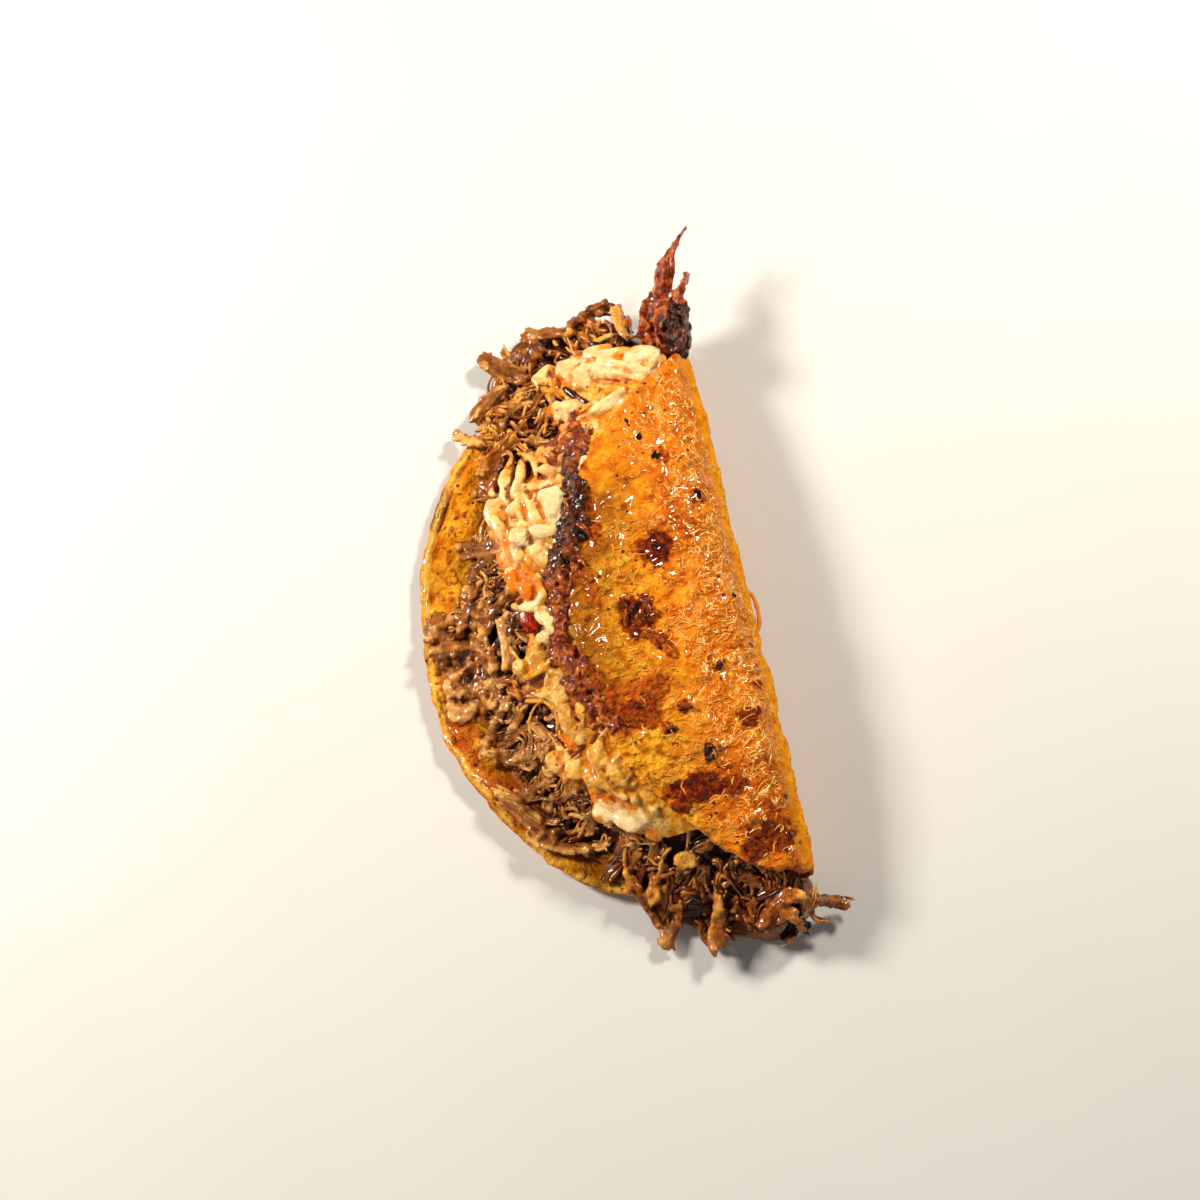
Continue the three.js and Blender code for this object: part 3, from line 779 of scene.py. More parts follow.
def curl_material():
    """Threads of cheese fried onto the tortilla: cream to orange, glossy."""
    thread = Finish("fried_curls", IOR=1.46, Specular_IOR_Level=0.2, Coat_Weight=0.5, Coat_Roughness=0.06)
    pale, = thread.marks("pale")
    cream = thread.mottle(2.0, (0.88, 0.36, 0.035), (0.97, 0.56, 0.13), (1.0, 0.78, 0.36))
    colour = layered((0.80, 0.24, 0.008), (pale, cream))
    return thread.made(colour, thread.oiled(3.0, 0.15, 0.35), thread.cloud(0.6, 2.0), 0.1, 0.5)


def cheese_material():
    """Melted cheese: cream, yellow where it is oily, orange where sauce stained it, brown where it fried;
    paler on crests as painted light, orange and brown in hollows as painted shade.
    """
    melt = Finish("melted_cheese", IOR=1.46, Specular_IOR_Level=0.2, Coat_Weight=0.6, Coat_Roughness=0.05,
                  Subsurface_Weight=0.3, Subsurface_Scale=0.0009, Subsurface_Radius=(1.0, 0.5, 0.15))
    yellow, stain_and_shade, brown, pale = melt.marks("yellow", "stain_and_shade", "brown", "pale")
    cream = melt.mottle(3.0, (0.50, 0.195, 0.020), (0.74, 0.395, 0.080), (0.89, 0.60, 0.20))
    oily = melt.mottle(2.0, (0.56, 0.16, 0.003), (0.78, 0.32, 0.012), (0.92, 0.55, 0.08))
    wobble = 0.9 * (melt.cloud(0.9, 4.0, 0.65) - 0.5)
    colour = layered(
        cream,
        # pale: whiter cheese, and painted light on the crests
        (0.8 * pale, (0.97, 0.77, 0.43)),
        (spread(yellow + wobble, 0.2, 0.8), oily),
        # orange: sauce stains, and painted shade in the hollows
        (spread(stain_and_shade + wobble, 0.15, 0.9), (0.72, 0.18, 0.004)),
        # brown: fried cheese, and painted shade in the hollows
        (spread(brown + wobble, 0.2, 0.8), (0.20, 0.030, 0.003)),
        (0.85 * melt.pits(2.4, 0.45, 0.15), (0.10, 0.02, 0.004)),
    )
    height = 0.65 * melt.cloud(1.6, 2.0, 0.5) - 0.25 * melt.pits(1.5, 0.8, 0.30)
    return melt.made(colour, melt.oiled(4.0, 0.22, 0.45), height, strength=0.8)


def burnt_material(crust, black, red, ragged, edge, oiled, relief):
    """Black where the burnt mark is strong and red elsewhere, with a ragged edge between the two."""
    burnt, = crust.marks("burnt")
    size, strength = ragged
    share = spread(burnt + strength * (crust.cloud(size, 4.0, 0.6) - 0.5), *edge)
    colour = layered(crust.mottle(*red), (share, crust.mottle(*black)))
    return crust.made(colour, crust.oiled(1.5, *oiled), crust.cloud(*relief), 0.5, 0.8)


def crust_material():
    """Cheese fried to a crust: nearly black at the top end, red-brown and then orange-red lower down."""
    return burnt_material(
        Finish("browned_crust", IOR=1.5, Specular_IOR_Level=0.15, Coat_Weight=0.55, Coat_Roughness=0.06),
        black=(2.6, (0.010, 0.003, 0.002), (0.040, 0.009, 0.003), (0.26, 0.050, 0.006)),
        red=(2.6, (0.09, 0.007, 0.001), (0.26, 0.034, 0.001), (0.60, 0.15, 0.004)),
        ragged=(2.6, 1.0), edge=(0.2, 0.8), oiled=(0.15, 0.45), relief=(0.8, 4.0, 0.65))


def beef_material():
    """Braised beef: grey-brown fibres, wet with fat, some of them stained orange."""
    meat = Finish("braised_beef", IOR=1.45, Specular_IOR_Level=0.2, Coat_Roughness=0.05)
    tone, orange, deep = meat.marks("tone", "orange", "deep")
    grain, = meat.marks("grain", output="Vector")
    streaks = cloud(grain, 1.0, 4.0, 0.6)
    level = tone + 0.45 * (streaks - 0.5) + 0.8 * (meat.cloud(3.0, 4.0, 0.6) - 0.5)
    low, high = spread(level, 0.0, 0.5), spread(level, 0.45, 1.0)
    brown = layered((0.040, 0.008, 0.001), (low, (0.32, 0.100, 0.013)), (high, (0.76, 0.39, 0.12)))
    tinted = layered((0.12, 0.015, 0.001), (low, (0.48, 0.115, 0.005)), (high, (0.90, 0.40, 0.04)))
    # Painted shade: where deep is high the colour goes near-black and the coat is thinned
    colour = layered(brown, (orange, tinted), (0.85 * deep, (0.020, 0.003, 0.0005)))
    feed(meat.inputs["Coat Weight"], 0.68 - 0.6 * deep)
    height = 0.32 * streaks + 0.45 * meat.cloud(1.8, 2.0) + 0.12 * meat.cloud(0.7, 2.0)
    return meat.made(colour, meat.oiled(2.0, 0.18, 0.42), height, strength=0.8)


def crisp_material():
    """Meat fried to a crisp: glossy red-brown, charred black on one side."""
    return burnt_material(
        Finish("fried_crisp", IOR=1.5, Specular_IOR_Level=0.2, Coat_Weight=0.5, Coat_Roughness=0.07),
        black=(1.8, (0.010, 0.003, 0.002), (0.045, 0.010, 0.005), (0.22, 0.045, 0.012)),
        red=(2.4, (0.08, 0.006, 0.001), (0.27, 0.030, 0.003), (0.62, 0.16, 0.016)),
        ragged=(1.8, 0.9), edge=(0.25, 0.75), oiled=(0.12, 0.38), relief=(0.9, 4.0, 0.6))


def chilli_material():
    """A scrap of dried chilli skin: deep glossy red."""
    skin = Finish("chilli_skin", IOR=1.5, Specular_IOR_Level=0.3, Coat_Weight=0.3, Coat_Roughness=0.12)
    red = skin.mottle(1.6, (0.10, 0.003, 0.001), (0.26, 0.008, 0.002), (0.50, 0.04, 0.006))
    return skin.made(red, skin.oiled(2.0, 0.1, 0.3), skin.cloud(0.8, 3.0), 0.3, 0.5)


def oil_material():
    """Frying oil and fat, tinted orange by the chilli."""
    oil = Finish("red_oil", IOR=1.47, Coat_Weight=0.6, Coat_Roughness=0.05, Transmission_Weight=0.55)
    tint = oil.mottle(4.0, (0.45, 0.06, 0.006), (0.72, 0.17, 0.015), (0.85, 0.36, 0.06))
    return oil.made(tint, oil.oiled(3.0, 0.04, 0.12))


# ---------------------------------------------------------------- tortilla

# Rows of points on the lower flap, the wrap and the upper flap, and spaces along a row
LOWER_ROWS, WRAP_ROWS, UPPER_ROWS, ROW_SPACES = 58, 66, 66, 252

# Spots on either face, as x, y, half-width, half-length, turn, strength
BROWN_SPOTS = [
    (-21, 17, 4.4, 4.6, 0.3, 1.0), (-22, 18, 7.5, 4.6, 0.5, 0.42), (-13, -58.5, 5.4, 3.6, 0.5, 0.8),
    (-7, -59, 3.4, 3.0, 0.2, 0.75), (-16, -55, 2.6, 1.8, 0.2, 0.6), (-9, -52, 4.0, 4.0, 0.0, 0.5),
    (-26, -43, 8.4, 3.8, 0.25, 1.0), (-18, -44, 5.0, 2.4, 0.1, 0.75), (-30, 1.5, 4.8, 5.4, 0.2, 0.85),
    (-25, -7, 2.2, 5.0, 0.7, 0.6), (-9, -28, 3.0, 2.6, 0.4, 0.8), (-15, 41, 2.2, 2.6, 0.0, 0.6),
    (-8, 29, 2.0, 2.4, 0.0, 0.6), (-13, 22, 3.2, 5.0, 0.5, 0.45), (-31, 55, 5.0, 4.2, 0.4, 0.75),
    (-38, 47, 3.5, 6.0, 0.3, 0.55), (-30, -18, 6.0, 3.0, 0.6, 0.5), (-34, -23, 6.0, 4.2, 0.2, 0.68),
    (-24, -23, 2.2, 1.8, 0.6, 0.7), (-29, -28, 2.0, 1.8, 0.0, 0.7), (-5, -21, 1.6, 1.6, 0.0, 0.6),
    (-13, -15, 1.8, 1.8, 0.0, 0.7), (-8, 46, 2.0, 3.0, 0.2, 0.4), (-20, 62, 3.5, 2.0, 0.8, 0.35),
    (-3, 10, 1.5, 6.0, 0.0, 0.3), (-6, -40, 2.0, 4.0, 0.3, 0.4), (-36, 30, 3.0, 9.0, 0.1, 0.6),
    (-40, 12, 2.2, 8.0, 0.2, 0.5), (-41, -17, 3.0, 6.0, 0.3, 0.55), (-25, 36, 1.0, 1.0, 0.0, 0.6),
    (-19, 30, 1.4, 1.0, 0.3, 0.5), (-33, 20, 0.9, 0.9, 0.0, 0.5),
]
CHAR_SPOTS = [
    (-21, 17, 2.2, 2.4, 0.3, 0.6), (-20, -35, 1.4, 2.2, 0.3, 1.0), (-13, -15, 1.0, 1.1, 0.0, 0.9),
    (-5, -21, 0.9, 1.0, 0.0, 0.9), (-24, -23, 1.3, 0.9, 0.9, 0.9), (-28, -28, 1.2, 0.8, 0.5, 0.9),
    (-8, 29, 1.0, 1.0, 0.0, 0.9), (-16, 41, 0.9, 1.2, 0.0, 0.9), (-21, 52, 0.8, 0.9, 0.0, 0.8),
    (-19, 47, 1.2, 0.8, 0.6, 0.9), (-5, -56, 1.6, 2.2, 0.2, 0.5), (-4, -49, 0.7, 0.9, 0.0, 0.8),
    (-5, 2, 0.7, 0.8, 0.0, 0.8), (-4, -11, 0.7, 0.8, 0.0, 0.8),
]
STAINS = [
    (-37, -20, 8.0, 6.5, 0.5, 0.85), (-33, -16, 6.0, 3.0, 0.2, 0.6), (-14, -40, 6.0, 6.0, 0.0, 0.4),
    (-10, -50, 7.0, 8.0, 0.2, 0.45), (-13, 25, 6.0, 9.0, 0.2, 0.35), (-10, 5, 5.0, 12.0, 0.0, 0.25),
]
OLIVE_SPOTS = [
    (-70, -30, 8.0, 6.0, 0.6, 0.5), (-52, -54, 8.0, 7.0, 0.6, 0.9), (-79, 30, 4.0, 8.0, 0.3, 0.35),
]
# Red-brown stains on the inner face; those along the beef's edge are also the beef's painted shadow
INNER_STAINS_AND_SHADOW = [
    (-76, -24, 5.0, 8.0, 0.5, 0.65), (-77.5, -13, 3.0, 7.0, 0.2, 0.8), (-66, -35, 6.0, 9.0, 0.5, 0.95),
    (-58, -46, 4.5, 6.0, 0.8, 0.7), (-74, 33, 3.0, 5.0, 0.4, 0.35), (-79, 12, 2.0, 5.0, 0.0, 0.3),
]
INNER_BROWN = [
    (-71.5, 46, 2.0, 5.5, -0.42, 1.0), (-72.5, 50, 1.6, 3.0, -0.5, 0.7), (-64, -40, 3.0, 4.0, 0.6, 0.6),
    (-80, -14, 0.9, 1.3, 0.2, 0.8), (-78, 24, 1.2, 1.2, 0.0, 0.5), (-76, 17, 1.5, 1.2, 0.0, 0.4),
]


def outer_relief(q, y, inward):
    """How far the outer face stands out: blisters, knobs and a dip beside the crust."""
    blisters = BLISTER_HEIGHT * noise(q, y, BLISTER_SIZE, 1) + PIMPLE_HEIGHT * noise(q, y, PIMPLE_SIZE, 2)
    bubbles = 0.38 * noise(q + 0.8 * noise(q, y, 2, 41), y, 2.1, 42) + 0.20 * noise(q, y, 1.25, 43)
    knobs = 0.35 * rise(noise(q + noise(q, y, 3, 45), y, 3.0, 46), 0.1, 0.5)
    dip = 0.7 * np.exp(-((inward - 4.5) / 3.2) ** 2) * rise(q, 30, 10) * between(y, -20, 48, 12, 10)
    return blisters * rise(q, 8, 14) + bubbles + knobs * rise(q, 20, 10) - dip


def disc_grid():
    """The disc's grid of points: places across and along it and distances from its rim."""
    wrap_end = float(fold_shape(np.array(DISC_Y))[2])
    tip = 0.03
    stations = np.concatenate([
        -np.cos(np.linspace(tip, math.acos(-WRAP_START / DISC_R), LOWER_ROWS, endpoint=False)),
        np.linspace(WRAP_START, wrap_end, WRAP_ROWS, endpoint=False) / DISC_R,
        np.cos(np.linspace(math.acos(wrap_end / DISC_R), tip, UPPER_ROWS + 1)),
    ])[:, None]
    beside = np.linspace(-1, 1, ROW_SPACES + 1)[None] * np.sqrt(1 - stations * stations)
    angle = np.arctan2(beside, stations)
    share = np.hypot(stations, beside)
    ragged = 0.45 * line_noise(angle * DISC_R, 3.1, 32) + 0.25 * line_noise(angle * DISC_R, 1.3, 33)
    radius = disc_radius(angle) + ragged * fall(DISC_R * (1 - share), 5, 5)
    return radius * share * np.cos(angle), DISC_Y + radius * share * np.sin(angle), radius * (1 - share)


def make_tortilla(material):
    """The folded sheet, rough on both faces and thin and nibbled at its rim."""
    q, y, inward = disc_grid()
    blunt = np.sqrt(clamp01(0.12 + 0.88 * (1 - (1 - clamp01(inward / 0.9)) ** 2)))
    half = half_thickness(inward) * blunt
    nibbled = 0.35 * noise(q, y, 1.8, 31) * fall(inward, 2.5, 2.5)
    knobs = rise(noise(q, y, 2.3, 52) + 0.6 * noise(q, y, 1.2, 53), -0.2, 0.9)
    inner = -0.25 * rough3(stacked(q, y), 4.0, 51) - 0.22 * rise(noise(q, y, 1.9, 54), 0.1, 0.4)
    inner = inner - 0.95 * knobs * near(inward, 1.7, 2.4) * (q < 0)
    middle = fold_point(q, y, 0)
    scab = spot(middle[..., 0], middle[..., 1], -30, 1.5, 4.4, 5.0, 0.2, 3) * (q > 20)
    outer = outer_relief(q, y, inward) + 0.5 * scab * (0.5 + noise(q, y, 1.3, 44))
    top, bottom = fold_point(q, y, half + outer + nibbled), fold_point(q, y, -half + inner + nibbled)
    points, faces = closed_sheet(top, bottom)
    points[:, 2] = np.maximum(points[:, 2], 0)
    marks = tortilla_marks(points, *(np.tile(values.ravel(), 2) for values in (q, y, inward)))
    new_piece("folded_tortilla", points, faces, "tortilla", material, marks)


def tortilla_marks(points, q, disc_y, inward):
    """What the tortilla's material reads. The first half of the points is the outer face."""
    x, y, z = points.T
    outer = np.repeat([1.0, 0.0], len(points) // 2)
    upper = outer * rise(z, 12, 4)
    inner = (1 - outer) * (q < 0)
    wander = 4 * noise(x, y, 11, 61)
    gold = strongest(
        fall(x - wander, -19, 12) * fall(y - wander, 46, 12) * upper,
        0.75 * fall(y - wander, -22, 10) * fall(x - wander, -22, 8) * upper,
        0.85 * inner * (0.8 + 0.5 * noise(x, y, 7, 62)),
        0.35 * (1 - upper) * outer,
        # painted light: the fold's side is painted yellower as its lit side
        0.8 * rise(x, -3.4, 1.5) * outer * rise(z, 6, 4),
    )
    curls = upper * strongest(rise(x + 2 * wander, -27, 12) * fall(x, -1.6, 2.2), 0.15 * fall(x, -3, 3))
    freckled = outer * rise(rough3(stacked(q, disc_y), 13.0, 71), 0.25, 0.5) * fall(q, 20, 18)
    rim_brown = fall(inward, 2.2, 2.2) * rise(noise(x, y, 7, 72), 0.1, 0.5)
    beside_crust = x - along(CRUST_RIGHT, y)
    halo = near(beside_crust, 0.5, 3.0) * between(y, -26, 2, 8, 8)
    brown = strongest(
        painted(x, y, BROWN_SPOTS, 81) * upper + painted(x, y, INNER_BROWN, 91) * inner + 0.75 * freckled,
        (0.2 + 0.3 * outer) * rim_brown,
        0.55 * halo * (0.7 + 0.5 * noise(x, y, 2.2, 73)) * upper,
    )
    char = painted(x, y, CHAR_SPOTS, 101) * upper
    # Stains, and on the inner face along the beef's edge also the beef's painted shadow
    stain_and_shade = painted(x, y, STAINS, 121) * upper + painted(x, y, INNER_STAINS_AND_SHADOW, 141) * inner
    # Painted shade: the flap beside the crust is painted olive-dark where the crust's ridge shades its dip;
    # the inner face also gets olive spots
    olive_and_shade = fall(beside_crust, 17, 17) * between(y, -20, 42, 10, 10) * upper
    olive_and_shade = strongest(olive_and_shade * (1.0 + 0.5 * noise(x, y, 4, 63)), painted(x, y, OLIVE_SPOTS, 221) * inner)
    # Partly painted highlight: the inner rim is painted light yellow, its own paler colour and a highlight
    # along its edge
    rim = near(inward, 1.3, 1.5) * inner * rise(noise(x, y, 4, 74), -0.9, 1.0)
    # Painted light: the bend is painted brighter orange as the fold's lit side
    bend = rise(x, -4.5, 2.5) * outer
    return {"bend": bend, "rim": rim, "gold": gold, "curls": curls, "brown": brown, "char": char,
            "stain_and_shade": stain_and_shade, "olive_and_shade": clamp01(olive_and_shade)}


CURL_TRIES = 5400


def make_curls(material):
    """Threads of cheese fried onto the outer face in curls, crowded beside the fold's bend."""
    draw = np.random.default_rng(71)
    rings, sides = 8, 4
    q, y = draw.uniform(25, 71, CURL_TRIES), draw.uniform(-66, 72, CURL_TRIES)
    x, beside = fold_point(q, y, 0)[:, :2].T
    crowd = 0.26 + 0.74 * rise(x + 9 * noise(x, beside, 9, 64), -24, 12)
    bare = between(beside, -22, 46, 10, 10) * fall(x - along(CRUST_RIGHT, beside), 12, 6)
    crowd = crowd * (1 - 0.85 * bare) * (1 - painted(x, beside, BROWN_SPOTS, 81)) ** 2
    on_flap = (rim_distance(q, y) > 3) & (x < -2.6 + noise(x, beside, 4, 65))
    kept = on_flap & (draw.uniform(0, 1, CURL_TRIES) < crowd)
    q, y, x = q[kept, None], y[kept, None], x[kept]
    count = len(x)
    t = np.linspace(0, 1, rings)
    is_long = draw.uniform(0, 1, (count, 1)) < 0.14
    bend = np.clip(draw.normal(0, 1, (count, 1)), -1.2, 1.2) * np.where(is_long, 0.8, 2.9)
    kink = np.cumsum(draw.normal(0, 0.30, (count, rings)), 1)
    heading = draw.uniform(0, 6.3, (count, 1)) + bend * t + kink
    length = np.where(is_long, draw.uniform(2.4, 4.5, (count, 1)), draw.uniform(0.7, 2.4, (count, 1)))
    step = length / (rings - 1)
    q, y = q + np.cumsum(np.cos(heading) * step, 1), y + np.cumsum(np.sin(heading) * step, 1)
    inward = rim_distance(q, y)
    radii = draw.uniform(0.15, 0.32, (count, 1)) * (0.5 + 0.5 * np.sin(math.pi * t))
    lying_at = fold_point(q, y, half_thickness(inward) + outer_relief(q, y, inward) + 0.03)
    threads = tubes(lying_at, radii, sides, 0.8)
    beside_fold = np.array([[(-0.2, 5.5, 12.5), (1.1, 3, 12), (1.2, -1.5, 11.5), (-0.2, -5.5, 11)]])
    t = steps(1, 18)
    strand = tubes(cubic(beside_fold, t), (0.6 + 0.2 * noise(9 * t, t, 1, 77)) * plump(t, 0.1, 0.5), 8)
    # Threads are paler towards the fold: partly their own cream colour, partly painted highlight
    pale = clamp01(draw.uniform(-0.1, 1.0, count) * (0.35 + 0.65 * rise(x, -24, 12)))
    pale = np.concatenate([per_tube(pale[:, None], rings, sides), np.full(len(strand[0]), 0.25)])
    points, faces = gather([threads, strand])
    new_piece("fried_curls", points, faces, "tortilla", material, {"pale": pale})


# ---------------------------------------------------------------- cheese

# Soft lobes as x, y, half-width, half-length, half-height, turn, lift
LOBES = [
    (-36.5, 73.5, 3.6, 3.2, 1.3, 0.4, 0.2), (-30, 75, 4.4, 2.4, 1.2, 0.0, 0.2),
    (-23.5, 76, 3.4, 2.0, 1.1, 0.2, 0.2), (-26.5, 72, 3.6, 1.8, 1.1, 0.1, 0.4),
    (-26, 68.6, 4.6, 2.6, 1.3, -0.2, 0.3), (-19, 73, 4.6, 2.0, 1.2, -0.1, 0.4),
    (-13, 69, 3.6, 2.4, 1.2, -0.3, 0.7), (-21, 70, 4.0, 2.2, 1.1, -0.3, 0.5),
    (-31, 69.5, 3.0, 2.8, 1.2, 0.4, 0.3), (-33, 61, 4.5, 3.4, 1.6, 0, -0.6),
    (-35.5, 62.5, 2.0, 2.6, 1.6, 0.5, 0.9), (-10.5, 70, 2.2, 1.5, 1.5, 0.3, 1.2),
    (-34, 71, 2.2, 3.6, 1.5, 0.4, 0.4), (-24.5, 59, 3.6, 1.5, 1.3, 0.3, 1.0),
    (-43.5, 50.5, 1.3, 2.0, 1.0, -0.3, 1.2), (-43, 45.2, 2.4, 1.5, 1.2, -0.6, 1.2),
    (-52, 37.8, 2.6, 2.3, 1.0, 0.3, 1.5), (-57.3, 38.4, 2.8, 4.0, 1.1, 0.1, 1.0),
    (-57.2, 33.2, 1.6, 4.4, 1.2, 0.38, 1.1), (-51.8, 29.2, 3.5, 2.5, 1.3, 0, 1.5),
    (-47.2, 28.3, 3.4, 1.8, 1.2, -0.25, 1.6), (-49.4, 22.8, 1.7, 3.1, 1.4, 0.45, 1.4),
    (-54.2, 25.0, 1.6, 3.0, 1.1, 0.2, 0.8), (-48.2, 32.6, 1.5, 2.6, 1.0, 0.3, 1.3),
    (-57, 21, 2.2, 2.0, 1.1, 0, 0.6), (-52.6, 20, 2.2, 2.0, 1.1, 0.5, 0.6),
    (-57.2, 17.6, 2.3, 2.0, 1.2, 0.2, 0.9), (-54.9, 15.6, 1.7, 2.3, 1.3, 0.1, 1.2),
    (-51.6, 17.2, 1.5, 1.7, 1.1, 0.3, 0.8), (-51.6, 7.6, 1.8, 2.3, 1.3, 0.3, 1.3),
    (-50.2, 4.4, 1.7, 2.5, 1.3, 0.2, 1.5), (-52.8, 2.4, 2.5, 1.7, 1.2, 0.2, 1.1),
    (-55.3, -1.9, 2.0, 3.1, 0.9, 0.15, 1.1), (-60.1, -2.6, 1.8, 2.1, 1.6, 0, 0.8),
    (-51.6, -12.5, 2.1, 3.2, 1.2, 0.1, 0.9), (-51.3, -18.5, 2.1, 3.6, 1.2, -0.1, 0.9),
    (-49.8, -23, 2.2, 2.6, 1.1, 0, 1.0), (-47.7, -17.6, 1.5, 2.0, 0.9, 0, 1.2),
    (-56, -28, 2.6, 2.8, 1.2, 0.3, 0.8), (-51.5, -31, 3.3, 2.5, 1.2, -0.3, 1.1),
    (-46, -29.5, 3.1, 2.5, 1.2, 0.2, 1.2), (-48, -34.6, 2.9, 2.5, 1.2, -0.4, 1.2),
    (-53.5, -33.2, 2.3, 1.6, 1.0, -0.5, 0.9), (-43, -34, 1.9, 3.6, 1.0, 0.3, 1.3),
    (-47.2, -42.8, 3.6, 2.5, 1.9, -0.5, 0.5), (-39.9, -41.8, 1.1, 1.1, 1.0, 0, 1.0),
    (-38.1, -46.8, 1.0, 1.0, 1.0, 0, 0.2), (-35.8, -45.1, 1.1, 1.1, 1.1, 0, 0.4),
    (-37.4, -50.8, 1.8, 1.0, 0.9, -0.35, -0.6), (-30.6, -58, 2.7, 1.9, 1.2, -0.3, -1.0),
    (-36, 56.3, 1.3, 1.3, 0.9, 0, 1.0), (-35.1, 52.1, 1.5, 1.8, 0.9, 0, 1.0),
    (-40.6, 50.8, 1.2, 1.2, 0.9, 0, 1.0), (-38.2, 47.1, 1.5, 1.2, 0.9, 0, 1.0),
    (-33.4, 44.1, 1.3, 1.6, 0.9, 0, 1.2), (-42.6, -45.8, 3.5, 2.1, 1.5, -0.75, 0.35),
]
# The one slab of cheese that kept its shape: x, y and lift, half-sizes, turn
SLAB = ((-43.6, 35.8, 1.3), (3.1, 3.9, 1.5), 0.15)
# Strands of cheese as four corners (x, y, lift) and a radius
STRANDS = [
    ([(-55.6, 48, 0.6), (-57.2, 46.2, 1.3), (-57.5, 44.2, 1.4), (-56.2, 41.5, 1.0)], 0.95),
    ([(-51.3, 52.5, 1.0), (-53.4, 48.8, 1.9), (-54.6, 45, 1.9), (-54.9, 40.5, 1.2)], 1.2),
    ([(-51.6, 57.5, 1.0), (-51.0, 53, 2.0), (-54.4, 49.6, 1.6), (-58.4, 46.2, 0.6)], 0.75),
    ([(-48.2, 51.4, 1.2), (-49.4, 47.5, 2.2), (-50.9, 44.2, 2.2), (-52.7, 40.5, 1.3)], 1.25),
    ([(-48.6, 55, 1.0), (-46.7, 51.4, 2.3), (-45.6, 48.4, 2.2), (-45.9, 45, 1.2)], 0.9),
    ([(-50.4, 52, 0.4), (-51.9, 47.6, 1.0), (-52.9, 44, 1.0), (-53.6, 41, 0.8)], 0.75),
    ([(-46.5, 57.5, 0.6), (-46, 54, 1.2), (-44, 50, 1.2), (-42.5, 47, 1.0)], 0.7),
    ([(-47.4, 40, 1.4), (-47.8, 37.5, 1.9), (-48.0, 35, 1.9), (-47.6, 31, 1.4)], 0.7),
    ([(-50.6, 41.6, 1.2), (-49.6, 38.8, 1.8), (-49.2, 36, 1.8), (-49.8, 32, 1.3)], 0.8),
    ([(-54.6, 34.6, 1.2), (-53.4, 33.2, 1.7), (-51.6, 32.4, 1.8), (-49.6, 31.6, 1.5)], 0.8),
    ([(-58, 12.9, 1.2), (-56.2, 11.1, 1.9), (-52.5, 11.0, 2.0), (-51.4, 14.8, 1.5)], 1.25),
    ([(-60, -6, 0.4), (-57.5, -5.8, 1.3), (-54.8, -5.2, 1.7), (-52.6, -3.4, 1.5)], 0.7),
    ([(-61.6, 4, -0.5), (-60.6, 0.8, 0.2), (-59.8, -2, 0.6), (-60.2, -6, 0.4)], 0.75),
    ([(-55, -5.6, 0.2), (-53, -6.4, 0.8), (-51.2, -7.4, 0.8), (-49.6, -8.8, 0.5)], 0.8),
    ([(-58.4, -10.2, 0.2), (-56.6, -11, 1.1), (-54.8, -11.5, 1.1), (-53, -10.4, 0.8)], 0.95),
    ([(-62.9, -5.0, -0.4), (-62.4, -6.6, 0.2), (-62.1, -8.4, 0.2), (-61.8, -10.4, -0.4)], 0.6),
    ([(-57, -20, 0.4), (-55, -25, 1.2), (-53, -29, 1.5), (-50, -33, 1.3)], 0.8),
    ([(-45, -27, 1.7), (-47, -32, 2.0), (-46, -37, 1.9), (-42, -41, 1.2)], 0.85),
    ([(-60, 40, -1.0), (-62, 37, -2.0), (-63, 33, -3.5), (-63.5, 30, -5.0)], 0.7),
    ([(-22, 72, -0.5), (-26, 75, -2.0), (-30, 76, -3.5), (-34, 76, -4.5)], 0.8),
    ([(-29, 71.5, 0.6), (-23.5, 71.8, 1.5), (-17, 68.8, 1.8), (-12, 64.5, 0.9)], 1.2),
    ([(-17, 70.6, 0.8), (-13, 72.4, 1.8), (-9.2, 70.5, 1.7), (-12, 66.5, 1.0)], 1.1),
    ([(-31, 75, 0.0), (-24.5, 75.2, 1.0), (-19, 74.2, 1.2), (-14, 72.6, 0.8)], 1.0),
    ([(-29.5, 57, 0.8), (-26.5, 58.8, 1.6), (-23, 60.4, 1.8), (-18.5, 62.4, 1.0)], 1.2),
    ([(-28.4, 65.8, 0.8), (-25.6, 65.6, 1.8), (-22.6, 64.6, 1.9), (-19.6, 63.2, 1.2)], 0.55),
    ([(-27.8, 63.4, 0.8), (-25.2, 63.4, 1.7), (-22.4, 62.8, 1.8), (-20.4, 61.8, 1.2)], 0.5),
    ([(-26, 69.2, 1.0), (-22, 68.6, 2.0), (-18.6, 66.6, 2.2), (-15.2, 63.8, 1.2)], 0.7),
    ([(-38, 77, -1.5), (-36.4, 74, 0.2), (-34.4, 70.4, 1.2), (-31.6, 67, 0.8)], 1.3),
    ([(-38.4, 66, 0.4), (-37.0, 63, 1.6), (-35.2, 60.5, 1.6), (-33.4, 57.6, 0.8)], 1.1),
    ([(-40.5, 76.5, -2.4), (-38.8, 72, -0.6), (-37, 68, 0.6), (-35.4, 64, 0.8)], 0.8),
    ([(-34, 75, -0.8), (-39, 77, -2.0), (-43.6, 76, -2.6), (-47.6, 72.6, -3.0)], 0.75),
    ([(-40, 68, -0.5), (-43.6, 69, -1.2), (-47, 68, -1.6), (-50.4, 65, -2.0)], 0.65),
    ([(-26, 76, -0.5), (-24, 79, -1.8), (-20.6, 80.6, -2.4), (-16.6, 80.4, -2.8)], 0.7),
    ([(-57, -12, -0.5), (-60, -14, -2.2), (-61, -18, -3.5), (-60, -23, -4.5)], 0.6),
]
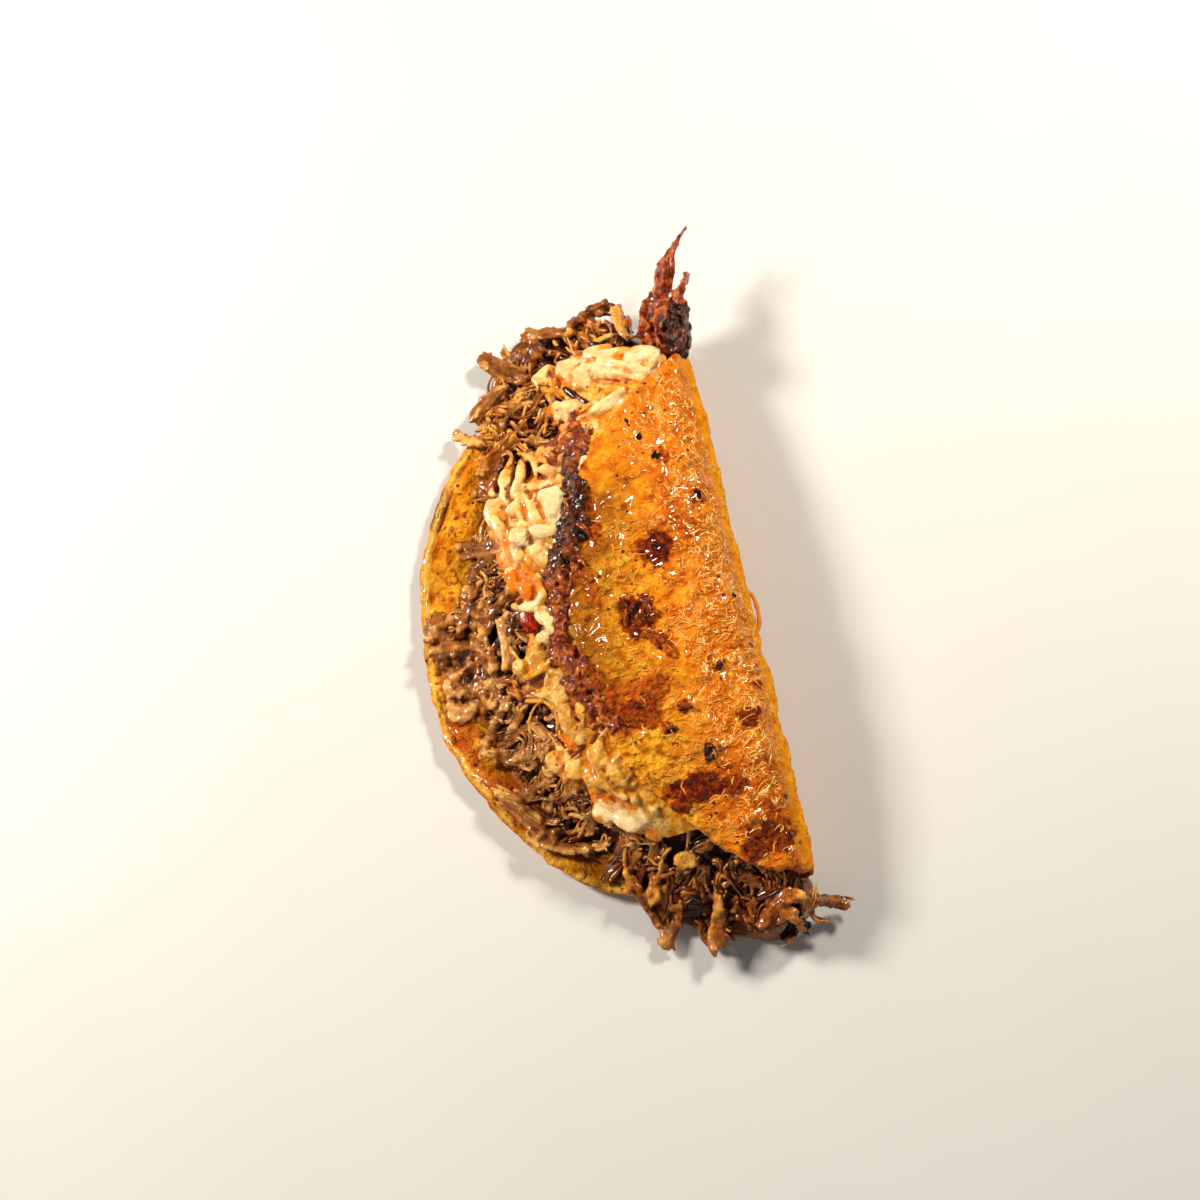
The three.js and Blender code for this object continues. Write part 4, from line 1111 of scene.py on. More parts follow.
# Where grated strands lie: x, y, half-width, half-length, how many, their turn, its spread, their radius
GRATED = [
    (-26, 67, 13, 5, 22, -0.1, 0.6, 0.6), (-36, 54, 6, 7, 9, 1.1, 0.7, 0.55),
    (-47, -33, 8, 8, 14, 0.9, 0.9, 0.65), (-52, -14, 3, 9, 6, 1.4, 0.6, 0.7),
    (-54, 35, 4, 9, 5, 1.75, 0.4, 0.7),
]

# Spots on the cheese, as x, y, half-width, half-length, turn, strength
CHEESE_BUBBLES = [
    (-50, -31, 9, 6, -0.4, 1.0), (-37, 52, 6, 8, 0.2, 1.0), (-22, 66, 14, 7, -0.2, 0.7),
]
CHEESE_YELLOW = [
    (-57.5, 37, 2.5, 5, 0.1, 0.7), (-48, -34, 8, 5, -0.5, 0.5), (-22, 64.5, 7, 3.4, -0.3, 1.0),
    (-37, 68, 5, 7, 0.3, 0.55), (-56.5, -5.4, 4, 0.9, 0.1, 1.0), (-47.7, -17.6, 1.8, 2.2, 0, 1.0),
]
CHEESE_PALE = [
    (-43.5, 35, 4.2, 6, 0.1, 1.0), (-51, 28.5, 5.5, 3.4, 0, 0.9), (-44.6, -44.6, 6.5, 3.6, -0.55, 0.85),
    (-51, 4.6, 3.2, 5, 0.1, 0.8), (-12, 70.5, 5, 2.4, -0.2, 0.9), (-24, 59.5, 6, 2.2, 0.3, 0.8),
    (-20, 69, 11, 4, -0.3, 0.7), (-29, 74, 10, 3.6, 0.0, 0.6), (-35, 62, 3, 4, 0.3, 0.6),
    (-54.5, 12, 4.5, 1.8, 0, 0.8),
]
CHEESE_STAINS = [
    (-55, 18.5, 4.6, 5.0, 0.1, 0.95), (-46, -11, 1.6, 7, 0.2, 0.6), (-57.5, 41, 2, 3, 0, 0.35),
    (-45, 47, 5, 5, 0, 0.45), (-52, -18, 2, 4, 0, 0.3), (-38, 60, 3, 5, 0.4, 0.5),
    (-62.2, -7.5, 1.2, 4, 0, 0.8), (-37.6, -50.6, 1.6, 1.2, 0, 0.5), (-34, 71, 1.6, 4.5, 0.35, 0.9),
]
CHEESE_FRIED = [
    (-38, 52, 5.5, 9, 0.15, 1.0), (-34, 58, 4, 3, 0.4, 0.8),
]
CHEESE_SHADED = [
    (-50, -10.5, 3.4, 1.8, 0.2, 0.9), (-57, -7, 3, 2.2, 0.2, 0.7), (-35, 72, 1.2, 3.6, 0.35, 0.7),
    (-57, 12.5, 1.2, 2.4, 0, 0.8),
]


def cheese_layer():
    """The sheet of cheese, from inside the fold to the mouth, where it spills out in waves."""
    y = np.linspace(*CHEESE_ENDS, 240)[:, None]
    u = np.linspace(0, 1, 240)[:, None]
    mouth = along(CHEESE_MOUTH, y) + 3.0 * between(y, 42, 61, 6, 5)
    mouth = mouth + 1.4 * line_noise(y, 5, 6) + 0.9 * line_noise(y, 2.4, 8)
    edge = np.maximum(upper_edge(y), mouth + 3)
    inner = lerp(np.maximum(CHEESE_START, edge + 3), edge + 0.6, np.linspace(0, 1, 24))
    spilled = lerp(edge, mouth, np.linspace(0, 1, 52))
    x = np.concatenate([inner, spilled], 1)
    is_spill = np.concatenate([0 * inner, 0 * spilled + 1], 1)
    across = np.linspace(0, 1, x.shape[1])
    thin = np.minimum(np.minimum(fall(across, 1, 0.14), rise(u, -0.006, 0.06)), fall(u, 1.006, 0.06))
    y = y * np.ones_like(x)
    level = cheese_top(x, y)
    waves = is_spill * (0.6 * noise(x, y, 5, 7) + 0.5 * rough3(stacked(x, y), 2.6, 9, 2) + 0.2)
    folds = 0.5 - 2.2 * np.abs(noise(0.35 * x + 0.1 * y, 0.95 * y + 0.3 * x, 2.6, 10))
    waves = waves + 0.3 * folds * rise(y, 56, 4) + 0.75 * between(y, 18, 48, 5, 5)
    top = level - 0.2 * CHEESE_DEPTH * (1 - thin) + waves
    low = level - CHEESE_DEPTH * lerp(0.35, 1, thin) + 0.3 * is_spill * noise(x, y, 4, 12)
    return closed_sheet(stacked(x, y, top), stacked(x, y, low))


def on_cheese(x, y, lift):
    """Places that lie on the cheese, or past it on the beef."""
    return stacked(x, y, strongest(cheese_top(x, y) + lift, heap_top(x, y) + 1.3, heap_floor(x, y) + 1.5))


def cheese_lobes():
    """Soft lumps of cheese, each in its own place."""
    x, y, *half, turn, lift = np.array(LOBES).T
    sizes = np.stack(half, -1) * [1.2, 1.2, 0.9]
    return lumps(on_cheese(x, y, lift), sizes, turn, rough=0.24, seed=3, square=0.88)


def cheese_slab():
    place, half, turn = SLAB
    middle = on_cheese(*np.array(place)[:, None])
    return lumps(middle, [half], turn, rough=0.14, level=4, seed=5, square=0.5)


def cheese_strands():
    """Strands of melted cheese, each in its own place."""
    x, y, lift = np.moveaxis(np.array([corners for corners, _ in STRANDS]), -1, 0)
    t = steps(len(STRANDS), 24)
    own = np.arange(len(STRANDS))[:, None] * 5.0
    radius = np.array([radius for _, radius in STRANDS])[:, None] * (0.55 + 0.45 * plump(t, 0.08, 0.5))
    radii = 1.05 * radius * (1 + 0.38 * noise(t * 6, own, 1, 4))
    return tubes(cubic(on_cheese(x, y, lift), t), radii, 10, 0.85)


def melted_bits():
    """Grated strands, half melted, that lie on the cheese."""
    draw = np.random.default_rng(67)
    drawn = []
    for x, y, half_width, half_length, number, heading, stray, thick in GRATED:
        place = [x + half_width * draw.uniform(-1, 1, number), y + half_length * draw.uniform(-1, 1, number)]
        turn = heading + draw.normal(0, stray, number)
        drawn.append([*place, turn, thick * draw.uniform(0.65, 1.3, number)])
    x, y, turn, radius = np.concatenate(drawn, 1)[:, :, None]
    count = len(x)
    length = draw.uniform(4.5, 11, (count, 1))
    x, y = bowed(x, y, turn, length, draw.normal(0, 1.0, (count, 1)))
    lift = draw.uniform(0.3, 1.7, (count, 1))
    z = strongest(cheese_top(x, y) + lift, heap_top(x, y) + 0.8, heap_floor(x, y) + 0.8)
    t = steps(count, 16)
    own = np.arange(count)[:, None] * 3.3
    radii = radius * plump(t, 0.08, 0.4) * (1 + 0.25 * noise(t * 6, own, 1, 66))
    return tubes(cubic(stacked(x, y, z), t), radii, 8, draw.uniform(0.6, 1.0, count))


def make_cheese(material):
    """All the cheese, melted together; outside the fold it is rough and bubbled."""
    parts = [cheese_layer(), cheese_lobes(), cheese_slab(), cheese_strands(), melted_bits()]
    points, faces, normals = fused(parts, CHEESE_VOXEL, 3)
    x, y, _ = points.T
    out = fall(x - upper_edge(y), 0, 1.5)
    bubbles = np.abs(noise3(points, 1.5, 17)) * painted(x, y, CHEESE_BUBBLES, 160)
    points = pushed(points, normals, out * (0.12 * rough3(points, 2.2, 15, 2) - 0.45 * bubbles))
    new_piece("melted_cheese", points, faces, "cheese", material, cheese_marks(points, x, y, out))


def cheese_marks(points, x, y, out):
    """What the cheese's material reads; crests are painted pale as painted light, and hollows painted orange
    and dark brown as painted shade.
    """
    crest = np.clip(crests(points, points, 1.5) / 0.8, -1, 1)
    near_edge = fall(upper_edge(y) - x, 5, 5)
    whiter = between(y, 20, 50, 5, 5)
    # Painted light: crests are painted paler, besides the whiter spots of cheese
    pale = strongest(painted(x, y, CHEESE_PALE, 170), 0.62 * whiter * rise(crest, -0.25, 0.8))
    yellow = 0.30 - 0.15 * whiter + 0.40 * rough3(points, 5.0, 21, 2) + 0.35 * near_edge - 0.6 * crest
    yellow = strongest(clamp01(yellow), 0.9 * painted(x, y, CHEESE_YELLOW, 165))
    # Painted shade: hollows are painted orange, and dark brown in the gaps
    hollow = out * fall(crest, -0.05, 0.65)
    fried = painted(x, y, CHEESE_FRIED, 190)
    cool = between(y, -17, 9, 4, 4)
    shaded_hollow = hollow * (0.55 + 0.40 * noise3(points, 4.0, 24)) * (1 - 0.75 * cool)
    # Real sauce stains, with the hollows' painted shade laid in as well
    stain_and_shade = painted(x, y, CHEESE_STAINS, 180) - 0.25 * smooth(crest)
    stain_and_shade = strongest(clamp01(strongest(stain_and_shade, shaded_hollow)), 0.6 * fried)
    streaks = rise(np.abs(noise3(points, 2.4, 23)), 0.30, 0.25)
    gaps = lerp(0.3, 0.8, rise(y, 37, 5)) * between(y, 20, 58, 4, 4)
    darkest = 0.6 * rise(noise3(points, 3.0, 26), 0.1, 0.4) * (1 - 0.6 * rise(y, 58, 4))
    # Brown: fried cheese, and painted shade in the hollows and the shaded spots
    brown = strongest(
        fried * clamp01(0.25 + 0.55 * streaks - 0.55 * crest),
        hollow * strongest(0.9 * gaps, darkest),
        painted(x, y, CHEESE_SHADED, 195) * fall(crest, 0.5, 0.8),
    )
    return {"yellow": clamp01(yellow - 0.55 * pale), "stain_and_shade": stain_and_shade, "brown": brown, "pale": pale}


# ---------------------------------------------------------------- browned crust

CRUST_KNOBS, CRUST_FLAKES, CRUST_BED = 560, 560, 240


def crust_base(x, y):
    """What the crust sits on: the cheese, or the upper flap's edge."""
    on_flap = strongest(roof(x, y) + THICKNESS / 2 - 0.5, cheese_top(x, y))
    return np.where(x > upper_edge(y), on_flap, cheese_top(x, y) + 0.3)


def crust_x(y, u):
    """Places across the crust, from 0 at its left side to 1 at its right; both sides are ragged."""
    left = along(CRUST_LEFT, y) + 0.9 * line_noise(y, 3, 38)
    right = along(CRUST_RIGHT, y) - 1.8 * rise(y, -5, 10) + 1.6 * line_noise(y, 4, 36)
    return lerp(left, right, u)


def crust_knobs(draw):
    """Lumps heaped along the crust, highest in its middle."""
    y, u = draw.uniform(-24, 57, CRUST_KNOBS), draw.uniform(-0.05, 1.05, CRUST_KNOBS)
    thick = between(y, -25, 60, 10, 16) * (0.72 + 0.45 * line_noise(y, 5, 35))
    kept = draw.uniform(0, 1, CRUST_KNOBS) < 0.25 + 0.8 * thick
    y, u, thick = y[kept], u[kept], thick[kept]
    count = len(y)
    x = crust_x(y, u)
    height = 1.9 * np.sin(math.pi * np.clip(u, 0.05, 0.95)) * thick * draw.uniform(0.0, 1.0, count)
    size = draw.uniform(0.35, 1.5, count)[:, None] * [1.3, 1.0, 0.6] * (0.6 + 0.4 * thick)[:, None]
    return lumps(stacked(x, y, crust_base(x, y) + height), size, draw.normal(1.6, 0.9, count),
                 draw.normal(0, 0.6, count), draw.normal(0, 0.6, count), rough=0.36, grain=0.7, seed=9)


def crust_flakes(draw):
    """Thin flakes that stand out of the crust."""
    count = CRUST_FLAKES
    y, u = draw.uniform(-25, 60, count), draw.normal(0.55, 0.38, count)
    x = crust_x(y, u)
    z = crust_base(x, y) + 0.3 + 1.6 * np.sin(math.pi * clamp01(u)) * rise(y, -25, 12)
    plate = stacked(draw.uniform(0.7, 2.6, count), draw.uniform(0.3, 0.9, count), 0.24)
    return lumps(stacked(x, y, z), plate, draw.normal(1.6, 0.8, count), draw.normal(0, 0.5, count),
                 draw.normal(0, 0.9, count), rough=0.3, level=2, seed=13)


def crust_bed(draw):
    """Flat lumps under the others that keep the crust in one piece."""
    y = np.linspace(-22, 55, CRUST_BED)
    x = crust_x(y, draw.uniform(0.1, 0.85, CRUST_BED))
    wide = 0.6 + 0.5 * between(y, -24, 56, 30, 16) + 0.3 * line_noise(y, 5, 37)
    sizes = wide[:, None] * [1.5, 1.5, 0.75]
    return lumps(stacked(x, y, crust_base(x, y) + 0.2), sizes, rough=0.3, grain=0.6, seed=10)


def make_crust(material):
    """The band of fried cheese along the upper flap's edge, burnt most at its top end."""
    draw = np.random.default_rng(7)
    points, faces, normals = fused([crust_knobs(draw), crust_flakes(draw), crust_bed(draw)], CRUST_VOXEL, 1)
    points = pushed(points, normals, 0.20 * rough3(points, 1.1, 27, 2))
    y = points[:, 1]
    burnt = rise(y + 7 * noise3(points, 5, 28), 12, 12) * fall(y, 54, 14)
    burnt = burnt - 0.45 * np.clip(crests(points, points, 1.5), -0.6, 0.8) + 0.35 * noise3(points, 3.5, 40)
    new_piece("browned_crust", points, faces, "cheese", material, {"burnt": 0.95 * clamp01(burnt)})


# ---------------------------------------------------------------- beef

# The shreds that have their own place, as x, y, turn, length, width, height, bow
KEY_SHREDS = [
    (-62.4, 6, 1.5, 16, 6.2, 4.4, 0.4), (-74, 0, 0.3, 11, 3.8, 3.4, 2.5), (-75, 12, 0.25, 13, 3.0, 3, 3.2),
    (-71, 17, 0.2, 11, 2.8, 2.6, -2), (-64, 32, -0.2, 13, 6, 4, 1.5), (-64, 24, 0.6, 12, 5, 4, 2.5),
    (-53, 54, 1.3, 24, 4, 3, 1), (-60, 62, 2.8, 10, 3.6, 3, 0), (-53, 70, 0.5, 13, 6, 5, 2),
    (-47, 81, 2.5, 14, 6, 5, 2), (-34, 86, 2.9, 15, 4.6, 4, -2), (-22, 88, 0.1, 15, 4.6, 4, 1.6),
    (-15, 84, 1.9, 11, 4, 3.4, 1), (-67, -36, 2.3, 17, 5, 4, 1), (-59, -46, 2.6, 15, 4.4, 3.6, 1),
    (-42, -64, 1.9, 14, 5, 4, 1), (-37, -72, 1.2, 12, 4, 3, 0), (-26, -73, 1.5, 14, 8, 6, 0),
    (-13, -74, 0.4, 10, 7, 5.5, 0.5), (-8, -78, -0.9, 11, 4.4, 3.4, 0.6), (-4, -75, -0.7, 13, 3.6, 3, 0),
    (0, -73.4, -0.42, 17, 3.8, 3.2, -0.4),
]
ROW_STEP = 10.4
SHRED_SPACING = 15
FAT_DROPS, CLUMP_FAT = 900, 190
SMALL_SHREDS, LOOSE_FIBRES = 262, 320

# How long the streaks along the fibres are, and how wide round them
GRAIN_ALONG, GRAIN_ROUND, GRAIN_APART = 0.28, 1.6, 5.7

# Stained beef, as x, y, half-width, half-length, turn, strength
ORANGE_BEEF = [
    (-58, 60, 6, 5, 0.3, 0.9), (-48, 66, 7, 6, 0.2, 0.7), (-24, 84, 14, 6, 0.1, 0.9),
    (-40, 78, 6, 5, 0.4, 0.5), (-61, -8, 3, 9, 0.2, 0.8), (-42, -61, 7, 8, 0.5, 0.85),
    (-56, 50, 3, 8, 0.1, 0.7), (-14, -72, 24, 8, -0.3, 0.85), (-62, 22, 4, 3, 0.2, 0.5),
    (-55, -46, 4, 4, 0.2, 0.5), (-8, -68, 6, 5, 0.2, 0.5),
]


def turned_outwards(y):
    """Shreds lie across the mouth and turn outwards at the heap's two ends."""
    return (math.pi / 2) * rise(np.abs(y - DISC_Y), 45, 25)


def strewn_shreds():
    """The shreds strewn evenly over the heap, in the same places as in the plain solid."""
    count = [0]

    def draw():
        count[0] += 1
        return (float(lattice(float(count[0]), 17.0, 5)) + 1) / 2

    shreds = []
    row = BEEF_MOUTH[0][0] + 4
    while row < BEEF_MOUTH[-1][0] - 3:
        mouth = float(along(BEEF_MOUTH, row)) - 1
        covered = CHEESE_ENDS[0] - 2 < row < CHEESE_ENDS[1]
        inner = float(along(CHEESE_MOUTH, row)) if covered else float(along(BEEF_FOLD, row)) - 3
        number = max(2, math.floor((inner - mouth) / SHRED_SPACING + 0.5))
        for i in range(number):
            y = row + lerp(-0.4, 0.4, draw()) * ROW_STEP
            x = lerp(mouth, inner, (i + 0.3 + 0.4 * draw()) / number)
            turn = float(turned_outwards(y)) + (draw() - 0.5) * 1.9
            turn += 1.2 if draw() < 0.3 else 0
            length = lerp(10, 16, draw())
            width = lerp(3.8, 6.4, draw() ** 1.5)
            shreds.append([x, y, turn, length, width, width * 0.75, lerp(-2.4, 2.4, draw()), 1.2 * draw()])
        row += ROW_STEP
    return shreds


def lying(shreds, sink, wander):
    """Four corners for each shred that lies on the heap and wanders from its line at random."""
    x, y, turn, length, _, height, bow, lift = np.asarray(shreds).T[:, :, None]
    shift = np.random.default_rng(11).normal(0, wander, (3, len(x), 4))
    x, y = bowed(x, y, turn, length, bow)
    x, y = x + shift[0], y + shift[1]
    rest = strongest(heap_top(x, y) - sink, heap_floor(x, y) + height * 0.3, height / 2 + 0.6 + 0 * x)
    raised = rest + height * 0.12 + lift * np.abs(CORNERS) * [0.8, 0.8, 2, 2]
    return stacked(x, y, raised + 0.7 * np.abs(shift[2]))


def bundles(corners, width, height, fibres, rings, sides, seed, splay=0.2, twist=0.9):
    """Shreds: a flat body with fibres that lie along it, twist a little and part at the ends."""
    draw = np.random.default_rng(seed)
    count = len(corners)
    total = count * (fibres + 1)
    owner = np.repeat(np.arange(count), fibres + 1)
    is_body = np.arange(total) % (fibres + 1) == 0
    start = np.where(is_body, 0.05, draw.uniform(0, 0.16, total))
    end = np.where(is_body, 0.95, draw.uniform(0.82, 1.05, total))
    t = lerp(start[:, None], end[:, None], steps(1, rings))
    outer = np.abs(2 * t - 1)
    centre = cubic(corners[owner], t)
    across, over = frame_along(centre)
    lanes = np.append(0, np.linspace(-0.78, 0.78, fibres) if fibres > 1 else 0.3)
    a = np.tile(lanes, count) + np.where(is_body, 0, draw.normal(0, 0.08, total))
    b = np.where(is_body, 0, draw.uniform(-0.5, 0.6, total) * np.sqrt(np.clip(1 - a * a, 0.1, 1)))
    a, b = a[:, None], b[:, None]
    spin = draw.normal(0, 0.5, count)[owner][:, None]
    spin = spin + twist * draw.normal(0, 1, count)[owner][:, None] * (t - 0.5)
    part = 1 + splay * draw.uniform(0.2, 1.6, total)[:, None] * outer ** 3
    own = np.arange(total)[:, None]
    crimp = 0.30 * noise(t * 3 + 3.1 * own, 0.7 * own, 1, seed)
    crimp = (crimp + 0.12 * noise(t * 6 + 1.7 * own, 0.9 * own, 1, seed + 2)) * ~is_body[:, None]
    wide, high = width[owner], height[owner]
    aside = ((a * np.cos(spin) - 0.6 * b * np.sin(spin)) * part + crimp) * wide[:, None] / 2 * 0.85
    above = ((a * np.sin(spin) * 0.7 + b * np.cos(spin)) * part + crimp) * high[:, None] / 2 * 0.8
    paths = centre + across * aside[..., None] + over * above[..., None]
    radius = np.where(is_body, wide * 0.28, wide / fibres * draw.uniform(0.40, 0.75, total) + 0.06)
    shape = plump(steps(1, rings), 0.06, np.where(is_body, 0.35, 0.30)[:, None])
    radii = radius[:, None] * shape * (1 + 0.25 * noise(t * 4.5 + own * 2.3, 1.7 * own, 1, seed + 1))
    flatten = np.where(is_body, high / wide * 0.9, draw.uniform(0.65, 1.0, total))
    low = np.maximum(heap_floor(paths[..., 0], paths[..., 1]), 0.2) + radii * flatten[:, None] * 0.9
    paths[..., 2] = np.maximum(paths[..., 2], low)
    points, faces = tubes(paths, radii, sides, flatten)
    tone = (draw.normal(0.50, 0.18, count)[owner] + draw.normal(0, 0.16, total) - 0.25 * is_body)[:, None]
    tint = per_tube(draw.uniform(0.35, 1.0, count)[owner][:, None], rings, sides)
    stained = painted(points[:, 0], points[:, 1], ORANGE_BEEF, 200)
    distance = t * np.linalg.norm(corners[:, -1] - corners[:, 0], axis=1)[owner][:, None]
    marks = {
        "tone": per_tube(tone + 0.22 * (outer ** 2 - 0.3), rings, sides),
        "grain": fibre_grain(distance, sides),
        "orange": tint * strongest(stained, 0.6 * per_tube(outer ** 4, rings, sides)),
    }
    return points, faces, marks, paths, distance


def fibre_grain(distance, sides):
    """A place along and round each fibre, for streaks that follow it; its tips have no place round it."""
    total, rings = distance.shape
    angle = 2 * math.pi * np.arange(sides) / sides
    grain = np.zeros((total, rings * sides + 2, 3))
    grain[:, :-2, 0] = GRAIN_ROUND * np.tile(np.cos(angle), rings)
    grain[:, :-2, 1] = GRAIN_ROUND * np.tile(np.sin(angle), rings)
    grain[..., 2] = GRAIN_ALONG * per_tube(distance, rings, sides).reshape(total, -1)
    grain += GRAIN_APART * np.arange(total)[:, None, None]
    return grain.reshape(-1, 3)


def make_beef_core(material):
    """The inside of the heap, painted dark as shade, which shows only in the gaps between shreds."""
    u = np.linspace(0, 1, 150)[:, None]
    v = np.linspace(0, 1, 64)[None]
    y = lerp(BEEF_MOUTH[0][0], BEEF_MOUTH[-1][0], u) * np.ones_like(v)
    x = lerp(along(BEEF_FOLD, y) - 1, along(BEEF_MOUTH, y) + 1.5, v)
    border = np.minimum(np.minimum(v, 1 - v) * 12, np.minimum(u, 1 - u) * 22)
    low = heap_floor(x, y) + 0.1
    rough = 1.3 * rough3(stacked(x, y), 4.5, 33) + 0.5 * noise(x, y, 1.9, 34)
    top = np.maximum(heap_top(x, y) - 1.8 + rough, low + 0.8)
    top = lerp(low + 0.4, top, np.sqrt(clamp01(border)))
    x = x + 0.9 * noise(y, top, 2.2, 76) * (1 - clamp01(border / 2))
    points, faces = closed_sheet(stacked(x, y, top), stacked(x, y, low))
    outside = np.tile(1 - smooth(border.ravel() / 1.6), 2)
    # Painted shade: the inside is painted darkest in its middle and lighter at its border
    marks = {"tone": 0.08 + 0.34 * outside, "orange": 0.3 + 0 * outside, "deep": 0.45 - 0.35 * outside,
             "grain": points}
    new_piece("beef_inside", points, faces, "beef", material, marks)


def beef_place(draw, number, margin):
    """Random places over the open part of the heap, denser at its two ends."""
    at_end = int(number * 0.13)
    y = np.concatenate([draw.uniform(-76, 88, number - 2 * at_end), draw.uniform(62, 88, at_end),
                        draw.uniform(-77, -52, at_end)])
    mouth = along(BEEF_MOUTH, y) + 0.5 + margin
    covered = (y > CHEESE_ENDS[0] + 1) & (y < CHEESE_ENDS[1] - 3)
    inner = np.where(covered, along(CHEESE_MOUTH, y) + 2.5, along(BEEF_FOLD, y) - 2)
    inner = np.where((y > 66) & (y < 79), np.minimum(inner, -39), inner)
    return lerp(mouth, np.maximum(inner, mouth + 1), draw.uniform(0, 1, number)), y


def beef_turn(draw, y):
    """Random headings, which turn outwards at the heap's two ends as the large shreds do."""
    outwards = turned_outwards(y)
    return outwards + draw.normal(0, 1, len(y)) * lerp(0.75, 0.5, outwards / (math.pi / 2))


def melted_together(points, faces, marks, paths, distance, fat, each, sides):
    """Melts shreds and the fat on them into one knobbly skin that keeps the marks of the nearest fibre."""
    rings = paths.shape[1]
    per_fibre = rings * sides + 2
    on_fibre = np.flatnonzero(np.arange(len(points)) // per_fibre % each != 0)
    tree = KDTree(len(on_fibre))
    for i in on_fibre.tolist():
        tree.insert(points[i], i)
    tree.balance()
    skin, skin_faces, normals = fused([(points, faces), *fat], BEEF_VOXEL, 1)
    nearest = np.array([tree.find(point)[1] for point in skin.tolist()])
    shred, ring = nearest // per_fibre, np.minimum(nearest % per_fibre // sides, rings - 1)
    across, over = (side[shred, ring] for side in frame_along(paths))
    off = skin - paths[shred, ring]
    angle = np.arctan2(np.sum(off * over, 1), np.sum(off * across, 1))
    along_shred = distance[shred, ring] + np.sum(off * np.cross(over, across), 1)
    round_x, round_y = GRAIN_ROUND * np.cos(angle), GRAIN_ROUND * np.sin(angle)
    grain = stacked(round_x, round_y, GRAIN_ALONG * along_shred) + GRAIN_APART * shred[:, None]
    skin = pushed(skin, normals, 0.30 * rough3(skin, 1.7, 45, 2) + 0.14 * noise3(grain, 0.8, 47))
    skin[:, 2] = np.maximum(skin[:, 2], 0.1)
    kept = {name: values[nearest] for name, values in marks.items()}
    return skin, skin_faces, {**kept, "grain": grain}


def fat_on_shreds(draw, paths):
    """Drops of soft fat that cling to the shreds."""
    on = paths[draw.integers(0, len(paths), FAT_DROPS), draw.integers(1, 17, FAT_DROPS)] + [0, 0, 0.3]
    size = draw.uniform(0.35, 1.1, FAT_DROPS)[:, None] * [1.6, 0.9, 0.8]
    turn, tilt = draw.uniform(0, 3.1, FAT_DROPS), draw.normal(0, 0.5, FAT_DROPS)
    return lumps(on, size, turn, tilt, rough=0.35, level=2, seed=51)


def fat_in_clump(draw):
    """Larger lumps of fat in the clump at the middle of the mouth."""
    count = CLUMP_FAT
    x, y, size = draw.uniform(-80, -64, count), draw.uniform(-10, 18, count), draw.uniform(0.6, 1.7, count)
    on_heap = heap_top(x, y) + 1.4 + size * draw.uniform(-0.3, 0.6, count)
    middles = stacked(x, y, np.maximum(on_heap, heap_floor(x, y) + size * 0.4))
    half = stacked(size * draw.uniform(1.1, 2.4, count), size, size * 0.7)
    turn, tilt = draw.uniform(0, 3.1, count), draw.normal(0, 0.5, count)
    return lumps(middles, half, turn, tilt, rough=0.4, grain=0.7, seed=19)


def large_shreds():
    """The large shreds; the first one is a slab that lies on top of the others."""
    shreds = np.array([[*key, 0.5] for key in KEY_SHREDS] + strewn_shreds())
    sink = np.where(np.arange(len(shreds)) < len(KEY_SHREDS), -0.8, 0.4)[:, None]
    sink[0] = -1.7
    in_clump = (shreds[:, 0] < -63) & (np.abs(shreds[:, 1] - 3) < 17)
    width = shreds[:, 4] * np.where(in_clump, 0.7, 0.9)
    fibres, rings, sides = 5, 18, 8
    made = bundles(lying(shreds, sink, 0.8), width, shreds[:, 5], fibres, rings, sides, 301, splay=0.5)
    draw = np.random.default_rng(49)
    fat = [fat_on_shreds(draw, made[3]), fat_in_clump(draw)]
    return melted_together(*made, fat, fibres + 1, sides)


def small_shreds():
    """Short shreds over and between the large ones."""
    draw = np.random.default_rng(41)
    count = SMALL_SHREDS
    x, y = beef_place(draw, count, 1.0)
    width = draw.uniform(1.8, 4.0, count)
    turn, length = beef_turn(draw, y), draw.uniform(4, 10, count)
    height = width * draw.uniform(0.45, 0.8, count)
    bow, lift = draw.normal(0, 1.1, count), draw.uniform(0, 2.2, count)
    corners = lying(np.stack([x, y, turn, length, width, height, bow, lift], -1), -0.2, 0.5)
    return bundles(corners, width, height, 5, 10, 6, 302, splay=0.4, twist=0.6)[:3]


def loose_fibres():
    """Single fibres on top of the heap."""
    draw = np.random.default_rng(43)
    count = LOOSE_FIBRES
    x, y = beef_place(draw, count, 0.5)
    width = draw.uniform(0.5, 1.2, count)
    turn = beef_turn(draw, y) + draw.normal(0, 0.6, count)
    length, height = draw.uniform(2.5, 7, count), width * 0.8
    bow, lift = draw.normal(0, 1.0, count), draw.uniform(0, 2.2, count)
    corners = lying(np.stack([x, y, turn, length, width, height, bow, lift], -1), 0.0, 0.4)
    corners[..., 2] += draw.uniform(0.3, 1.6, count)[:, None]
    return bundles(corners, width, height, 1, 8, 5, 303)[:3]


